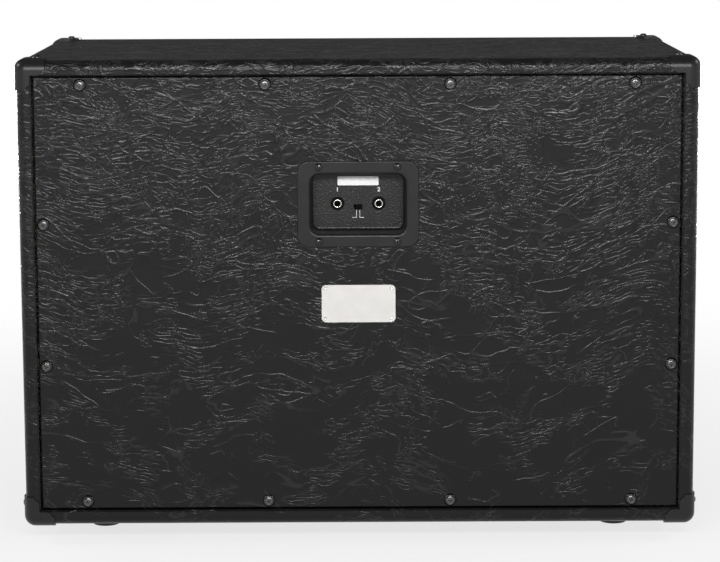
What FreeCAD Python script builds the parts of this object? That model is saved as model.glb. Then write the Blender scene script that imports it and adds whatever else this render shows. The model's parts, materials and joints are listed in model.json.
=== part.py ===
import FreeCAD, Part
import math
import os

import Sketcher
from FreeCAD import Placement, Rotation, Vector

# A closed-back guitar speaker cabinet with two 12 inch speakers.
# Millimetres. +Z is up, -Y is the grille side, +Y is the rear panel side, and right is +X.
# The origin is on the ground, below the middle of the cabinet.

SIZES = [
    # Carcass and its covering
    ("shell_depth", 355.0),
    ("shell_height", 498.0),
    ("edge_round", 10.0),
    ("covering", 0.7),
    ("rim_ease", 1.6),
    ("board", 15.0),
    ("cleat", 18.0),
    ("slack", 0.15),
    ("overrun", 4.0),
    # Rear panel and its screws
    ("panel_recess", 3.0),
    ("panel_gap", 1.2),
    ("panel_board", 12.0),
    ("panel_edge", 2.0),
    ("panel_screw_inset", 8.3),
    ("panel_screw_near", 97.0),
    ("panel_screw_far", 290.5),
    ("panel_screw_rise", 76.0),
    ("panel_screw_length", 27.0),
    ("washer_radius", 6.75),
    ("washer_height", 2.2),
    ("washer_lip", 0.9),
    ("sunk_head_radius", 4.2),
    ("sunk_head_crown", 0.7),
    ("screw_shank", 2.0),
    # Jack dish
    ("dish_rim", 13.5),
    ("dish_round", 12.5),
    ("dish_flange", 2.5),
    ("dish_edge", 1.2),
    ("dish_rise", 96.5),
    ("dish_mouth_width", 101.0),
    ("dish_mouth_height", 64.0),
    ("dish_mouth_round", 10.0),
    ("dish_depth", 24.5),
    ("dish_wall", 2.5),
    ("dish_lean", 2.1),
    ("dish_mouth_ease", 3.0),
    ("dish_floor_ease", 2.5),
    ("dish_screw_across", 41.3),
    ("dish_screw_inset", 5.9),
    ("pan_head_radius", 4.0),
    ("pan_head_height", 2.6),
    ("pan_screw_length", 14.0),
    # Jack sockets
    ("jack_spread", 21.9),
    ("jack_drop", 2.0),
    ("jack_bore", 3.2),
    ("ferrule_radius", 4.6),
    ("ferrule_stand", 4.0),
    ("ferrule_seat", 6.0),
    ("jack_nut_radius", 7.1),
    ("jack_nut_height", 2.6),
    ("housing_width", 18.0),
    ("housing_height", 22.0),
    ("housing_depth", 28.0),
    ("housing_wall", 2.0),
    ("plug_room", 3.7),
    ("lug_width", 3.0),
    ("lug_thickness", 0.8),
    ("lug_length", 7.0),
    # Slide switch
    ("switch_drop", 6.0),
    ("knob_width", 4.6),
    ("knob_height", 5.0),
    ("knob_stand", 1.4),
    ("switch_travel", 4.0),
    ("switch_slack", 0.3),
    ("carrier_width", 9.0),
    ("carrier_height", 6.6),
    ("carrier_thickness", 3.0),
    ("switch_wall", 2.0),
    ("switch_depth", 8.0),
    # Rating plate
    ("plate_width", 78.0),
    ("plate_height", 40.0),
    ("plate_round", 5.0),
    ("plate_thickness", 0.8),
    ("plate_drop", 9.7),
    ("rivet_inset", 4.0),
    ("rivet_radius", 1.7),
    ("rivet_crown", 0.9),
    ("rivet_shank", 1.0),
    ("rivet_length", 5.0),
    # Corner protectors
    ("guard_skin", 2.0),
    ("guard_leg", 31.0),
    ("guard_arm", 28.0),
    ("guard_flap_round", 16.0),
    ("guard_band", 15.2),
    ("guard_end_round", 5.5),
    ("guard_screw_inset", 21.0),
    # Feet
    ("foot_height", 20.0),
    ("foot_top_radius", 19.5),
    ("foot_low_radius", 16.0),
    ("foot_ease", 1.5),
    ("foot_sink_radius", 7.0),
    ("foot_floor", 8.0),
    ("foot_across", 280.0),
    ("foot_inset", 87.0),
    ("foot_screw_length", 20.0),
    # Side handles
    ("handle_end", 20.0),
    ("handle_side", 16.5),
    ("handle_round", 16.0),
    ("handle_flange", 3.0),
    ("handle_edge", 1.5),
    ("handle_rise", 31.0),
    ("cutout_gap", 1.0),
    ("handle_mouth_length", 125.0),
    ("handle_mouth_height", 72.0),
    ("handle_mouth_round", 15.0),
    ("handle_depth", 47.0),
    ("handle_wall", 2.5),
    ("handle_lean", 4.9),
    ("handle_mouth_ease", 3.0),
    ("grip_height", 20.0),
    ("grip_thickness", 15.0),
    ("grip_round", 6.0),
    ("grip_up", 14.0),
    ("grip_sink", 1.0),
    ("handle_screw_inset", 9.5),
    # Baffle and grille
    ("grille_setback", 8.0),
    ("cloth", 0.8),
    ("grille_board", 12.0),
    ("grille_rail", 30.0),
    ("grille_gap", 1.0),
    ("strip_thickness", 4.0),
    ("strip_length", 50.0),
    ("strip_width", 20.0),
    ("strip_across", 240.0),
    ("baffle_board", 18.0),
    ("baffle_gap", 0.3),
    ("baffle_screw_across", 150.0),
    ("baffle_screw_up", 120.0),
    ("baffle_screw_length", 32.0),
    # Speakers
    ("speaker_gap", 14.0),
    ("speaker_room", 6.8),
    ("speaker_cutout", 141.5),
    ("bolt_step", 7.5),
    ("bolt_shank", 2.5),
    ("bolt_head_radius", 4.6),
    ("bolt_head_height", 4.0),
    ("bolt_length", 19.0),
    ("insert_flange_radius", 9.0),
    ("insert_flange", 1.4),
    ("insert_barrel_radius", 3.6),
    ("insert_barrel", 10.0),
    ("gasket_step", 1.5),
    ("gasket_rim", 4.5),
    ("gasket", 2.4),
    ("basket_rim", 6.0),
    ("basket_mouth_step", 0.9),
    ("basket_taper", 0.5),
    ("basket_shoulder_depth", 18.0),
    ("basket_steel", 1.6),
    ("window_heel", 5.0),
    ("window_head", 9.0),
    ("spider_seat_width", 16.0),
    ("spider_seat_inner", 68.0),
    ("spider_seat_depth", 74.0),
    ("basket_floor_taper", 3.0),
    ("spider_room", 14.0),
    ("basket_hole", 30.0),
    ("top_plate_radius", 64.0),
    ("top_plate", 7.0),
    ("magnet_radius", 78.0),
    ("magnet_hole", 32.0),
    ("magnet", 20.0),
    ("yoke_radius", 72.0),
    ("yoke", 8.0),
    ("pole_radius", 22.3),
    ("coil_gap", 0.4),
    ("former", 0.4),
    ("winding", 0.6),
    ("winding_length", 16.0),
    ("former_tail", 2.0),
    ("surround_span", 12.4),
    ("cone_edge_depth", 7.0),
    ("cone_paper", 0.9),
    ("cone_collar", 7.0),
    ("collar_gap", 0.4),
    ("cap_radius", 38.0),
    ("cap_rise", 11.0),
    ("surround_skin", 0.6),
    ("surround_lip", 3.1),
    ("surround_gap", 0.4),
    ("spider_skin", 0.6),
    ("spider_wave", 3.0),
    ("spider_gap", 0.35),
    ("spider_rim", 12.0),
    ("strip_board", 2.0),
    ("strip_board_width", 30.0),
    ("strip_board_height", 12.0),
    ("tag_width", 5.0),
    ("tag_length", 22.0),
    ("tag_hold", 8.0),
    ("tag_thickness", 0.8),
    ("cable_radius", 3.3),
    ("cable_hold", 4.0),
    ("cable_run", 36.0),
    ("cable_lift", 40.0),
    ("solder_gap", 0.2),
    ("cable_bend", 18.0),
    ("lead_radius", 0.7),
    ("lead_reach", 64.0),
    ("lead_drop", 17.0),
    ("lead_gap", 1.2),
    ("lead_bend", 6.0),
]

FINGERS = 11
WINDOWS = 8
SPIDER_WAVES = 5
BOLTS = 8
window_share = 0.62
pan_rim_share = 0.35
mitre_share = 2 - math.sqrt(2)
washer_bow_share = 1.2
cone_bend_share = 1.88
roll_bend_share = 0.53

doc = FreeCAD.newDocument("speaker_cabinet")
sheet = doc.addObject("Spreadsheet::Sheet", "Sizes")


class Length:
    """A length that knows its value and the sheet formula behind it."""

    def __init__(self, value, formula):
        self.value = value
        self.formula = formula

    def __add__(self, other):
        return Length(self.value + other.value, f"({self.formula} + {other.formula})")

    def __sub__(self, other):
        return Length(self.value - other.value, f"({self.formula} - {other.formula})")

    def __mul__(self, other):
        if isinstance(other, Length):
            return Length(self.value * other.value, f"({self.formula} * {other.formula})")
        return Length(self.value * other, f"({self.formula} * ({other:.9f}))")

    def __truediv__(self, other):
        if isinstance(other, Length):
            return Length(self.value / other.value, f"({self.formula} / {other.formula})")
        return Length(self.value / other, f"({self.formula} / {other})")

    def __neg__(self):
        return Length(-self.value, f"(0 - {self.formula})")


class Sizes:
    """The sheet's cells by name."""


ZERO = Length(0.0, "0")
S = Sizes()
for row, (alias, value) in enumerate(SIZES, 1):
    sheet.set(f"A{row}", alias)
    sheet.set(f"B{row}", str(value))
    sheet.setAlias(f"B{row}", alias)
    setattr(S, alias, Length(value, f"Sizes.{alias}"))
doc.recompute()

# Turns from a piece's own frame to the cabinet's.
# Flat work is drawn with x to the right, y up and z towards the viewer.
AS_DRAWN = Rotation()
FACING_REAR = Rotation(Vector(-1, 0, 0), Vector(0, 0, 1), Vector(0, 1, 0), "XYZ")
FACING_RIGHT = Rotation(Vector(0, 1, 0), Vector(0, 0, 1), Vector(1, 0, 0), "XYZ")
FACING_LEFT = Rotation(Vector(0, -1, 0), Vector(0, 0, 1), Vector(-1, 0, 0), "XYZ")
# Turned work has its axis along its own y.
AXIS_FRONT = Rotation(Vector(0, 0, 1), 180)
AXIS_UP = Rotation(Vector(1, 0, 0), 90)
AXIS_DOWN = Rotation(Vector(1, 0, 0), -90)
AXIS_RIGHT = Rotation(Vector(0, 0, 1), -90)
AXIS_LEFT = Rotation(Vector(0, 0, 1), 90)
NEAR = 1e-4

# Levels that several pieces share
bolt_circle = S.speaker_cutout + S.bolt_step
basket_radius = bolt_circle + S.basket_rim
speaker_x = S.speaker_gap / 2 + basket_radius
half_width = speaker_x + basket_radius + S.speaker_room + S.cleat + S.board + S.covering
rear = S.shell_depth / 2
front = -rear
low = S.foot_height
high = low + S.shell_height
middle = low + S.shell_height / 2
wood_half_width = half_width - S.covering
wood_rear = rear - S.covering
wood_low = low + S.covering
wood_high = high - S.covering
inner_half_width = wood_half_width - S.board
inner_low = wood_low + S.board
inner_high = wood_high - S.board
inner_half_height = S.shell_height / 2 - S.covering - S.board
panel_face = rear - S.panel_recess
panel_wood_face = panel_face - S.covering
panel_back = panel_wood_face - S.panel_board
panel_half_width = inner_half_width - S.covering - S.panel_gap
panel_half_height = inner_half_height - S.covering - S.panel_gap
cloth_face = front + S.grille_setback
frame_front = cloth_face + S.cloth
frame_back = frame_front + S.grille_board
baffle_front = frame_back + S.strip_thickness
baffle_back = baffle_front + S.baffle_board
dish_width = S.dish_mouth_width + S.dish_rim * 2
dish_height = S.dish_mouth_height + S.dish_rim * 2
dish_screw_up = dish_height / 2 - S.dish_screw_inset
dish_z = middle + S.dish_rise
dish_floor = panel_face + S.dish_flange - S.dish_depth
dish_floor_back = dish_floor - S.dish_wall
jack_z = dish_z - S.jack_drop
switch_z = dish_z - S.switch_drop
handle_z = middle + S.handle_rise
handle_length = S.handle_mouth_length + S.handle_end * 2
handle_height = S.handle_mouth_height + S.handle_side * 2
handle_screw_across = handle_length / 2 - S.handle_screw_inset
handle_screw_up = handle_height / 2 - S.handle_screw_inset

nodes = []


def bind(item, path, length):
    """Drives one property by a formula of the sheet."""
    item.setExpression(path, length.formula)


def put(item, place, turn=AS_DRAWN):
    """Sets an object's turn and binds its place."""
    item.Placement = Placement(Vector(*[length.value for length in place]), turn)
    for axis, length in zip("xyz", place):
        bind(item, f"Placement.Base.{axis}", length)
    return item


def node(item, label):
    """Names an object as one of the cabinet's pieces."""
    item.Label = label
    nodes.append(item)
    return item


def new_body(name):
    return doc.addObject("PartDesign::Body", name)


def sketch_on(body, role, lift=ZERO):
    """Starts a sketch on one of the body's own planes, lifted along the plane's normal."""
    plane = next(feature for feature in body.Origin.OriginFeatures if feature.Role == role)
    sketch = body.newObject("Sketcher::SketchObject", f"{body.Name}_sketch")
    sketch.AttachmentSupport = [(plane, "")]
    sketch.MapMode = "FlatFace"
    bind(sketch, "AttachmentOffset.Base.z", lift)
    return sketch


def hold(sketch, kind, place, length):
    index = sketch.addConstraint(Sketcher.Constraint(kind, *place, length.value))
    bind(sketch, f"Constraints[{index}]", length)


def arc(start, end, radius):
    """An arc with its centre left of the way from start to end, or right of it for a radius below zero."""
    chord = end - start
    left = Vector(-chord.y, chord.x, 0).normalize()
    reach = math.sqrt(max(radius**2 - (chord.Length / 2) ** 2, 0))
    centre = (start + end) / 2 + left * math.copysign(reach, radius)
    first, last = (start, end) if radius > 0 else (end, start)
    angles = [math.atan2(point.y - centre.y, point.x - centre.x) for point in (first, last)]
    if angles[1] < angles[0]:
        angles[1] += 2 * math.pi
    return Part.ArcOfCircle(Part.Circle(centre, Vector(0, 0, 1), abs(radius)), *angles)


def draw(sketch, corners):
    """Draws a closed loop. A corner's third entry bends the run that arrives there to that radius."""
    runs = []
    for before, corner in zip(corners[-1:] + corners[:-1], corners):
        start = Vector(before[0].value, before[1].value, 0)
        end = Vector(corner[0].value, corner[1].value, 0)
        if len(corner) == 2:
            runs.append((sketch.addGeometry(Part.LineSegment(start, end)), 1, 2))
        else:
            left = corner[2].value > 0
            shape = sketch.addGeometry(arc(start, end, corner[2].value))
            runs.append((shape, 1 if left else 2, 2 if left else 1))
    joins = [
        Sketcher.Constraint("Coincident", this[0], this[2], after[0], after[1])
        for this, after in zip(runs, runs[1:] + runs[:1])
    ]
    sketch.addConstraint(joins)
    for (shape, _, last), corner in zip(runs, corners):
        hold(sketch, "DistanceX", (-1, 1, shape, last), corner[0])
        hold(sketch, "DistanceY", (-1, 1, shape, last), corner[1])
        if len(corner) == 3:
            hold(sketch, "Radius", (shape,), corner[2] if corner[2].value > 0 else -corner[2])


def rectangle(sketch, left, right, bottom, top):
    draw(sketch, [(left, bottom), (right, bottom), (right, top), (left, top)])


def rounded(sketch, width, height, radius, across=ZERO, up=ZERO):
    """Draws a rectangle with round corners about a centre."""
    left, right = across - width / 2, across + width / 2
    bottom, top = up - height / 2, up + height / 2
    draw(
        sketch,
        [
            (right - radius, bottom),
            (right, bottom + radius, radius),
            (right, top - radius),
            (right - radius, top, radius),
            (left + radius, top),
            (left, top - radius, radius),
            (left, bottom + radius),
            (left + radius, bottom, radius),
        ],
    )


def circle(sketch, radius, across=ZERO, up=ZERO):
    centre = Vector(across.value, up.value, 0)
    shape = sketch.addGeometry(Part.Circle(centre, Vector(0, 0, 1), radius.value))
    hold(sketch, "DistanceX", (-1, 1, shape, 3), across)
    hold(sketch, "DistanceY", (-1, 1, shape, 3), up)
    hold(sketch, "Radius", (shape,), radius)


def extrude(body, kind, sketch, length, reverse=False, draft=None):
    """Adds a Pad or a Pocket."""
    feature = body.newObject(f"PartDesign::{kind}", f"{body.Name}_{kind.lower()}")
    feature.Profile = sketch
    feature.Reversed = reverse
    bind(feature, "Length", length)
    if draft:
        bind(feature, "TaperAngle", draft)
    return feature


def ease(body, radius, picked):
    """Rounds the edges of the body so far that the test picks."""
    doc.recompute()
    base = body.Tip
    names = [f"Edge{index}" for index, edge in enumerate(base.Shape.Edges, 1) if picked(edge)]
    feature = body.newObject("PartDesign::Fillet", f"{body.Name}_fillet")
    feature.Base = (base, names)
    bind(feature, "Radius", radius)


def lies_at(axis, level, reach=None):
    """A test for edges that lie in one plane, and within a reach of x = 0 if one is given."""

    def picked(edge):
        box = edge.BoundBox
        ends = (getattr(box, f"{axis}Min"), getattr(box, f"{axis}Max"))
        near_enough = reach is None or max(-box.XMin, box.XMax) < reach.value + NEAR
        return near_enough and all(abs(end - level.value) < NEAR for end in ends)

    return picked


def turned(name, corners):
    """A body of revolution about its own y axis, from (radius, height) corners."""
    body = new_body(name)
    sketch = sketch_on(body, "XY_Plane")
    draw(sketch, corners)
    feature = body.newObject("PartDesign::Revolution", f"{name}_revolution")
    feature.Profile = sketch
    feature.ReferenceAxis = (sketch, ["V_Axis"])
    feature.Angle = 360
    return body


def block(name, x, y, z):
    """A box between two levels along each axis."""
    box = doc.addObject("Part::Box", name)
    for side, (start, end) in zip(("Length", "Width", "Height"), (x, y, z)):
        bind(box, side, end - start)
    return put(box, (x[0], y[0], z[0]))


def boolean(kind, name, base, tool):
    item = doc.addObject(f"Part::{kind}", name)
    item.Base = base
    item.Tool = tool
    return item


def cut(name, base, *tools):
    for index, tool in enumerate(tools, 1):
        base = boolean("Cut", f"{name}_cut_{index}", base, tool)
    return base


def group(name, items):
    item = doc.addObject("Part::Compound", name)
    item.Links = items
    return item


def copies(name, source, places, turn=AS_DRAWN):
    """Links to one source at each place."""
    links = []
    for place in places:
        link = doc.addObject("App::Link", f"{name}_copy")
        link.LinkedObject = source
        links.append(put(link, place, turn))
    return links


def mirrored(name, source, normal, base=(ZERO, ZERO, ZERO)):
    item = doc.addObject("Part::Mirroring", name)
    item.Source = source
    item.Normal = normal
    for axis, length in zip("xyz", base):
        bind(item, f"Base.{axis}", length)
    return item


def bores(name, radius, length, places, turn):
    """Drills to cut with: each starts an overrun outside its place and runs inward, against its axis."""
    outline = [(ZERO, -length), (radius, -length), (radius, S.overrun), (ZERO, S.overrun)]
    drill = turned(f"{name}_drill", outline)
    return group(name, copies(name, drill, places, turn))


def both(length):
    return (-length, length)


def spread(across, up):
    """The four places at plus and minus two lengths."""
    return [(x, z) for x in both(across) for z in both(up)]


def rounded_shell_block(name, inset):
    """The cabinet's outer form, set in by a length, with every edge round."""
    body = new_body(name)
    sketch = sketch_on(body, "XY_Plane", low + inset)
    rectangle(sketch, inset - half_width, half_width - inset, inset - rear, rear - inset)
    pad = extrude(body, "Pad", sketch, S.shell_height - inset * 2)
    fillet = body.newObject("PartDesign::Fillet", f"{name}_fillet")
    fillet.Base = (pad, [""])
    fillet.UseAllEdges = True
    bind(fillet, "Radius", S.edge_round - inset)
    return body


def root(area):
    return Length(math.sqrt(area.value), f"sqrt({area.formula})")


def lean_angle(lean, depth):
    """The draft that moves a wall by a length over a depth."""
    angle = math.degrees(math.atan2(lean.value, depth.value))
    return Length(angle, f"atan({lean.formula} / {depth.formula})")


def dome_radius(half_span, rise):
    """The radius of an arc from its crown down to half its span."""
    return (half_span * half_span + rise * rise) / (rise * 2)


def pan_screw(name, length):
    """A pan head screw whose head stands on y = 0."""
    rim = S.pan_head_height * pan_rim_share
    return turned(
        name,
        [
            (ZERO, -length),
            (S.screw_shank, S.screw_shank - length),
            (S.screw_shank, ZERO),
            (S.pan_head_radius, ZERO),
            (S.pan_head_radius, rim),
            (ZERO, S.pan_head_height, dome_radius(S.pan_head_radius, S.pan_head_height - rim)),
        ],
    )


screw_bore = S.screw_shank + S.slack

# Rounded outer forms that the boards, the covering and the protectors share
shell_form = rounded_shell_block("shell_form", ZERO)
wood_form = rounded_shell_block("wood_form", S.covering)
guard_form = rounded_shell_block("guard_form", -S.guard_skin)

# Where the corner protectors' screws stand, by the way they face
guard_x = half_width - S.guard_screw_inset
guard_y = rear - S.guard_screw_inset
guard_levels = (low + S.guard_screw_inset, high - S.guard_screw_inset)
corner_spots = [
    ([(x, y, high + S.guard_skin) for x in both(guard_x) for y in both(guard_y)], AXIS_UP),
    ([(x, y, low - S.guard_skin) for x in both(guard_x) for y in both(guard_y)], AXIS_DOWN),
    ([(half_width + S.guard_skin, y, z) for y in both(guard_y) for z in guard_levels], AXIS_RIGHT),
    ([(-half_width - S.guard_skin, y, z) for y in both(guard_y) for z in guard_levels], AXIS_LEFT),
]
corner_bores = group(
    "corner_bores",
    [bores("corner_bore", screw_bore, S.pan_screw_length, places, turn) for places, turn in corner_spots],
)

# Feet and their screws
foot_places = [(x, y, ZERO) for x in both(S.foot_across) for y in both(rear - S.foot_inset)]
foot_ceiling = S.foot_height - S.foot_floor
foot_screw_places = [(x, y, foot_ceiling) for x, y, _ in foot_places]
foot_bores = bores("foot_bores", screw_bore, S.foot_screw_length, foot_screw_places, AXIS_DOWN)

# Side handles: the recess that the shell is cut out for, and their screws
handle_spots = [
    ("right", (half_width, ZERO, handle_z), FACING_RIGHT, AXIS_RIGHT, half_width + S.handle_flange),
    ("left", (-half_width, ZERO, handle_z), FACING_LEFT, AXIS_LEFT, -half_width - S.handle_flange),
]
handle_cutout = new_body("handle_cutout")
handle_cutout_sketch = sketch_on(handle_cutout, "XY_Plane", S.overrun)
handle_cutout_rim = S.handle_wall + S.cutout_gap
rounded(
    handle_cutout_sketch,
    S.handle_mouth_length + handle_cutout_rim * 2,
    S.handle_mouth_height + handle_cutout_rim * 2,
    S.handle_mouth_round + handle_cutout_rim,
)
extrude(handle_cutout, "Pad", handle_cutout_sketch, S.covering + S.board + S.overrun * 2, reverse=True)
handle_screw_places = {
    side: [(face, y, handle_z + z) for y, z in spread(handle_screw_across, handle_screw_up)]
    for side, _, _, _, face in handle_spots
}
handle_cuts = group(
    "handle_cuts",
    [copies("handle_cutter", handle_cutout, [place], turn)[0] for _, place, turn, _, _ in handle_spots]
    + [
        bores("handle_bore", screw_bore, S.pan_screw_length, handle_screw_places[side], axis)
        for side, _, _, axis, _ in handle_spots
    ],
)


def finger_board(name, role, lift, axis, corners, notches, count):
    """A board whose ends are notched with box joints along the cabinet's depth."""
    body = new_body(f"{name}_blank")
    sketch = sketch_on(body, role, lift)
    rectangle(sketch, *corners)
    extrude(body, "Pad", sketch, S.board)
    notch = sketch_on(body, role, lift)
    for sides in notches:
        rectangle(notch, *sides)
    pocket = extrude(body, "Pocket", notch, S.board, reverse=True)
    pattern = body.newObject("PartDesign::LinearPattern", f"{name}_fingers")
    pattern.Originals = [pocket]
    pattern.Direction = (notch, [axis])
    bind(pattern, "Length", finger * (2 * (count - 1)))
    pattern.Occurrences = count
    body.Tip = pattern
    return boolean("Common", f"{name}_rounded", body, wood_form)


def mouth_flares(name, inset, ease_depth):
    """Rooms that cut back the rims of the front and rear mouths at 45 degrees, set into the rims by a length."""
    body = new_body(f"{name}_rear")
    sketch = sketch_on(body, "XZ_Plane", inset - rear - S.overrun)
    depth = ease_depth + S.overrun
    grow = inset + depth
    rectangle(sketch, *both(lined[0] + grow), lined[1] - grow, lined[2] + grow)
    extrude(body, "Pad", sketch, depth, draft=lean_angle(-depth, depth))
    return group(name, [body, mirrored(f"{name}_front", body, Vector(0, 1, 0))])


lined = (inner_half_width - S.covering, inner_low + S.covering, inner_high - S.covering)
covering_flares = mouth_flares("covering_flares", ZERO, S.rim_ease)
wood_flares = mouth_flares("wood_flares", S.covering, S.rim_ease - S.covering * mitre_share)

# Carcass boards. The top and bottom keep the odd fingers of each corner, the sides the even ones.
finger = wood_rear * 2 / FINGERS
for label, lift in (("top_board", inner_high), ("bottom_board", wood_low)):
    second = (-wood_rear + finger, -wood_rear + finger * 2)
    board = finger_board(
        label,
        "XY_Plane",
        lift,
        "V_Axis",
        both(wood_half_width) + both(wood_rear),
        [(inner_half_width, wood_half_width) + second, (-wood_half_width, -inner_half_width) + second],
        FINGERS // 2,
    )
    node(cut(label, board, wood_flares, corner_bores, foot_bores), label)
for label, lift in (("right_board", inner_half_width), ("left_board", -wood_half_width)):
    first = (-wood_rear, -wood_rear + finger)
    board = finger_board(
        label,
        "YZ_Plane",
        lift,
        "H_Axis",
        both(wood_rear) + (wood_low, wood_high),
        [first + (wood_low, inner_low), first + (inner_high, wood_high)],
        FINGERS // 2 + 1,
    )
    node(cut(label, board, wood_flares, corner_bores, handle_cuts), label)

# Covering: a skin over the boards, turned in as far as the baffle at the front and the cleats at the rear
tunnel = block("tunnel", both(inner_half_width), both(rear + S.overrun), (inner_low, inner_high))
carcass = cut("carcass_form", wood_form, tunnel, wood_flares)
lined_tunnel = block("lined_tunnel", both(lined[0]), both(rear + S.overrun), lined[1:])
bare_span = (baffle_front, panel_back)
bare_tunnel = block("bare_tunnel", both(inner_half_width), bare_span, (inner_low, inner_high))
covering_tunnels = (lined_tunnel, bare_tunnel, covering_flares)
covering_cuts = (carcass, *covering_tunnels, corner_bores, foot_bores, handle_cuts)
node(cut("shell_covering", shell_form, *covering_cuts), "shell_covering")


def cleat_ring(name, near, far):
    """Four battens round the inside of the carcass."""
    shoulder = inner_half_width - S.cleat
    levels = (inner_low + S.cleat, inner_high - S.cleat)
    return group(
        name,
        [
            block(f"{name}_top", both(inner_half_width), (near, far), (levels[1], inner_high)),
            block(f"{name}_bottom", both(inner_half_width), (near, far), (inner_low, levels[0])),
            block(f"{name}_right", (shoulder, inner_half_width), (near, far), levels),
            block(f"{name}_left", (-inner_half_width, -shoulder), (near, far), levels),
        ],
    )


# Rear panel, its covering, screws and cup washers
screw_x = panel_half_width - S.panel_screw_inset
screw_z = panel_half_height - S.panel_screw_inset
panel_screw_places = [
    (x, panel_face, middle + z)
    for across in (S.panel_screw_near, S.panel_screw_far)
    for x, z in spread(across, screw_z)
] + [(x, panel_face, middle + z) for x, z in spread(screw_x, S.panel_screw_rise)]
panel_bores = bores("panel_bores", screw_bore, S.panel_screw_length, panel_screw_places, AS_DRAWN)
dish_place = (ZERO, panel_face, dish_z)
dish_screw_places = [
    (x, panel_face + S.dish_flange, dish_z + z) for x, z in spread(S.dish_screw_across, dish_screw_up)
]
dish_bores = bores("dish_bores", screw_bore, S.pan_screw_length, dish_screw_places, AS_DRAWN)
plate_z = middle - S.plate_drop
rivet_places = [
    (x, panel_face + S.plate_thickness, plate_z + z)
    for x, z in spread(S.plate_width / 2 - S.rivet_inset, S.plate_height / 2 - S.rivet_inset)
]
rivet_bores = bores("rivet_bores", S.rivet_shank + S.slack, S.rivet_length, rivet_places, AS_DRAWN)

dish_cutout = new_body("dish_cutout")
dish_cutout_sketch = sketch_on(dish_cutout, "XY_Plane", S.overrun)
dish_cutout_rim = S.dish_wall + S.cutout_gap
rounded(
    dish_cutout_sketch,
    S.dish_mouth_width + dish_cutout_rim * 2,
    S.dish_mouth_height + dish_cutout_rim * 2,
    S.dish_mouth_round + dish_cutout_rim,
)
extrude(dish_cutout, "Pad", dish_cutout_sketch, S.covering + S.panel_board + S.overrun * 2, reverse=True)
put(dish_cutout, dish_place, FACING_REAR)


def panel_form(name, inset):
    """The rear panel's outer form, set in by a length, with the edges of its outer face round."""
    body = new_body(name)
    sketch = sketch_on(body, "XY_Plane")
    rectangle(sketch, *both(panel_half_width - inset), *both(panel_half_height - inset))
    thickness = S.covering + S.panel_board - inset
    extrude(body, "Pad", sketch, thickness)
    ease(body, S.panel_edge - inset, lies_at("Z", thickness))
    return put(body, (ZERO, panel_back, middle), FACING_REAR)


panel_wood = panel_form("panel_wood", S.covering)
panel_skin = cut("panel_skin", panel_form("panel_outer", ZERO), panel_wood)
for label, form in (("rear_panel", panel_wood), ("rear_panel_covering", panel_skin)):
    node(cut(label, form, dish_cutout, panel_bores, dish_bores, rivet_bores), label)
rear_ring = cleat_ring("rear_cleat", panel_back - S.cleat, panel_back)
node(cut("rear_cleats", rear_ring, panel_bores), "rear_cleats")

cup_washer = turned(
    "cup_washer",
    [
        (screw_bore, ZERO),
        (S.washer_radius, ZERO),
        (S.sunk_head_radius + S.washer_lip, S.washer_height, S.washer_height * washer_bow_share),
        (S.sunk_head_radius, S.washer_height),
    ],
)
panel_screw = turned(
    "panel_screw",
    [
        (ZERO, -S.panel_screw_length),
        (S.screw_shank, S.screw_shank - S.panel_screw_length),
        (S.screw_shank, ZERO),
        (S.sunk_head_radius - S.slack, S.washer_height),
        (
            ZERO,
            S.washer_height + S.sunk_head_crown,
            dome_radius(S.sunk_head_radius - S.slack, S.sunk_head_crown),
        ),
    ],
)
node(group("cup_washers", copies("washer", cup_washer, panel_screw_places)), "cup_washers")
node(group("rear_panel_screws", copies("panel_screws", panel_screw, panel_screw_places)), "rear_panel_screws")


# Jack dish: a flange and a tapered recess, with holes for the jacks, the switch and the screws
def jack_dish():
    body = new_body("jack_dish")
    flange = sketch_on(body, "XY_Plane")
    rounded(flange, dish_width, dish_height, S.dish_round)
    extrude(body, "Pad", flange, S.dish_flange)
    ease(body, S.dish_edge, lies_at("Z", S.dish_flange))
    tub = sketch_on(body, "XY_Plane")
    rim = S.dish_wall * 2
    rounded(tub, S.dish_mouth_width + rim, S.dish_mouth_height + rim, S.dish_mouth_round + S.dish_wall)
    tub_depth = S.dish_depth - S.dish_flange + S.dish_wall
    draft = lean_angle(-S.dish_lean, S.dish_depth)
    extrude(body, "Pad", tub, tub_depth, reverse=True, draft=draft)
    mouth = sketch_on(body, "XY_Plane", S.dish_flange)
    rounded(mouth, S.dish_mouth_width, S.dish_mouth_height, S.dish_mouth_round)
    extrude(body, "Pocket", mouth, S.dish_depth, draft=draft)
    ease(body, S.dish_floor_ease, lies_at("Z", S.dish_flange - S.dish_depth))
    ease(body, S.dish_mouth_ease, lies_at("Z", S.dish_flange, S.dish_mouth_width / 2))
    holes = sketch_on(body, "XY_Plane", S.dish_flange)
    for x, y in spread(S.dish_screw_across, dish_screw_up):
        circle(holes, screw_bore, x, y)
    for x in both(S.jack_spread):
        circle(holes, S.ferrule_radius + S.slack, x, -S.jack_drop)
    slot = (S.knob_width + S.switch_travel + S.switch_slack * 2, S.knob_height + S.switch_slack * 2)
    rectangle(
        holes,
        *both(slot[0] / 2),
        -S.switch_drop - slot[1] / 2,
        -S.switch_drop + slot[1] / 2,
    )
    extrude(body, "Pocket", holes, S.dish_depth + S.dish_wall + S.overrun)
    return put(body, dish_place, FACING_REAR)


node(jack_dish(), "jack_dish")
pan_head_screw = pan_screw("pan_head_screw", S.pan_screw_length)
node(group("jack_dish_screws", copies("dish_screw", pan_head_screw, dish_screw_places)), "jack_dish_screws")


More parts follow.
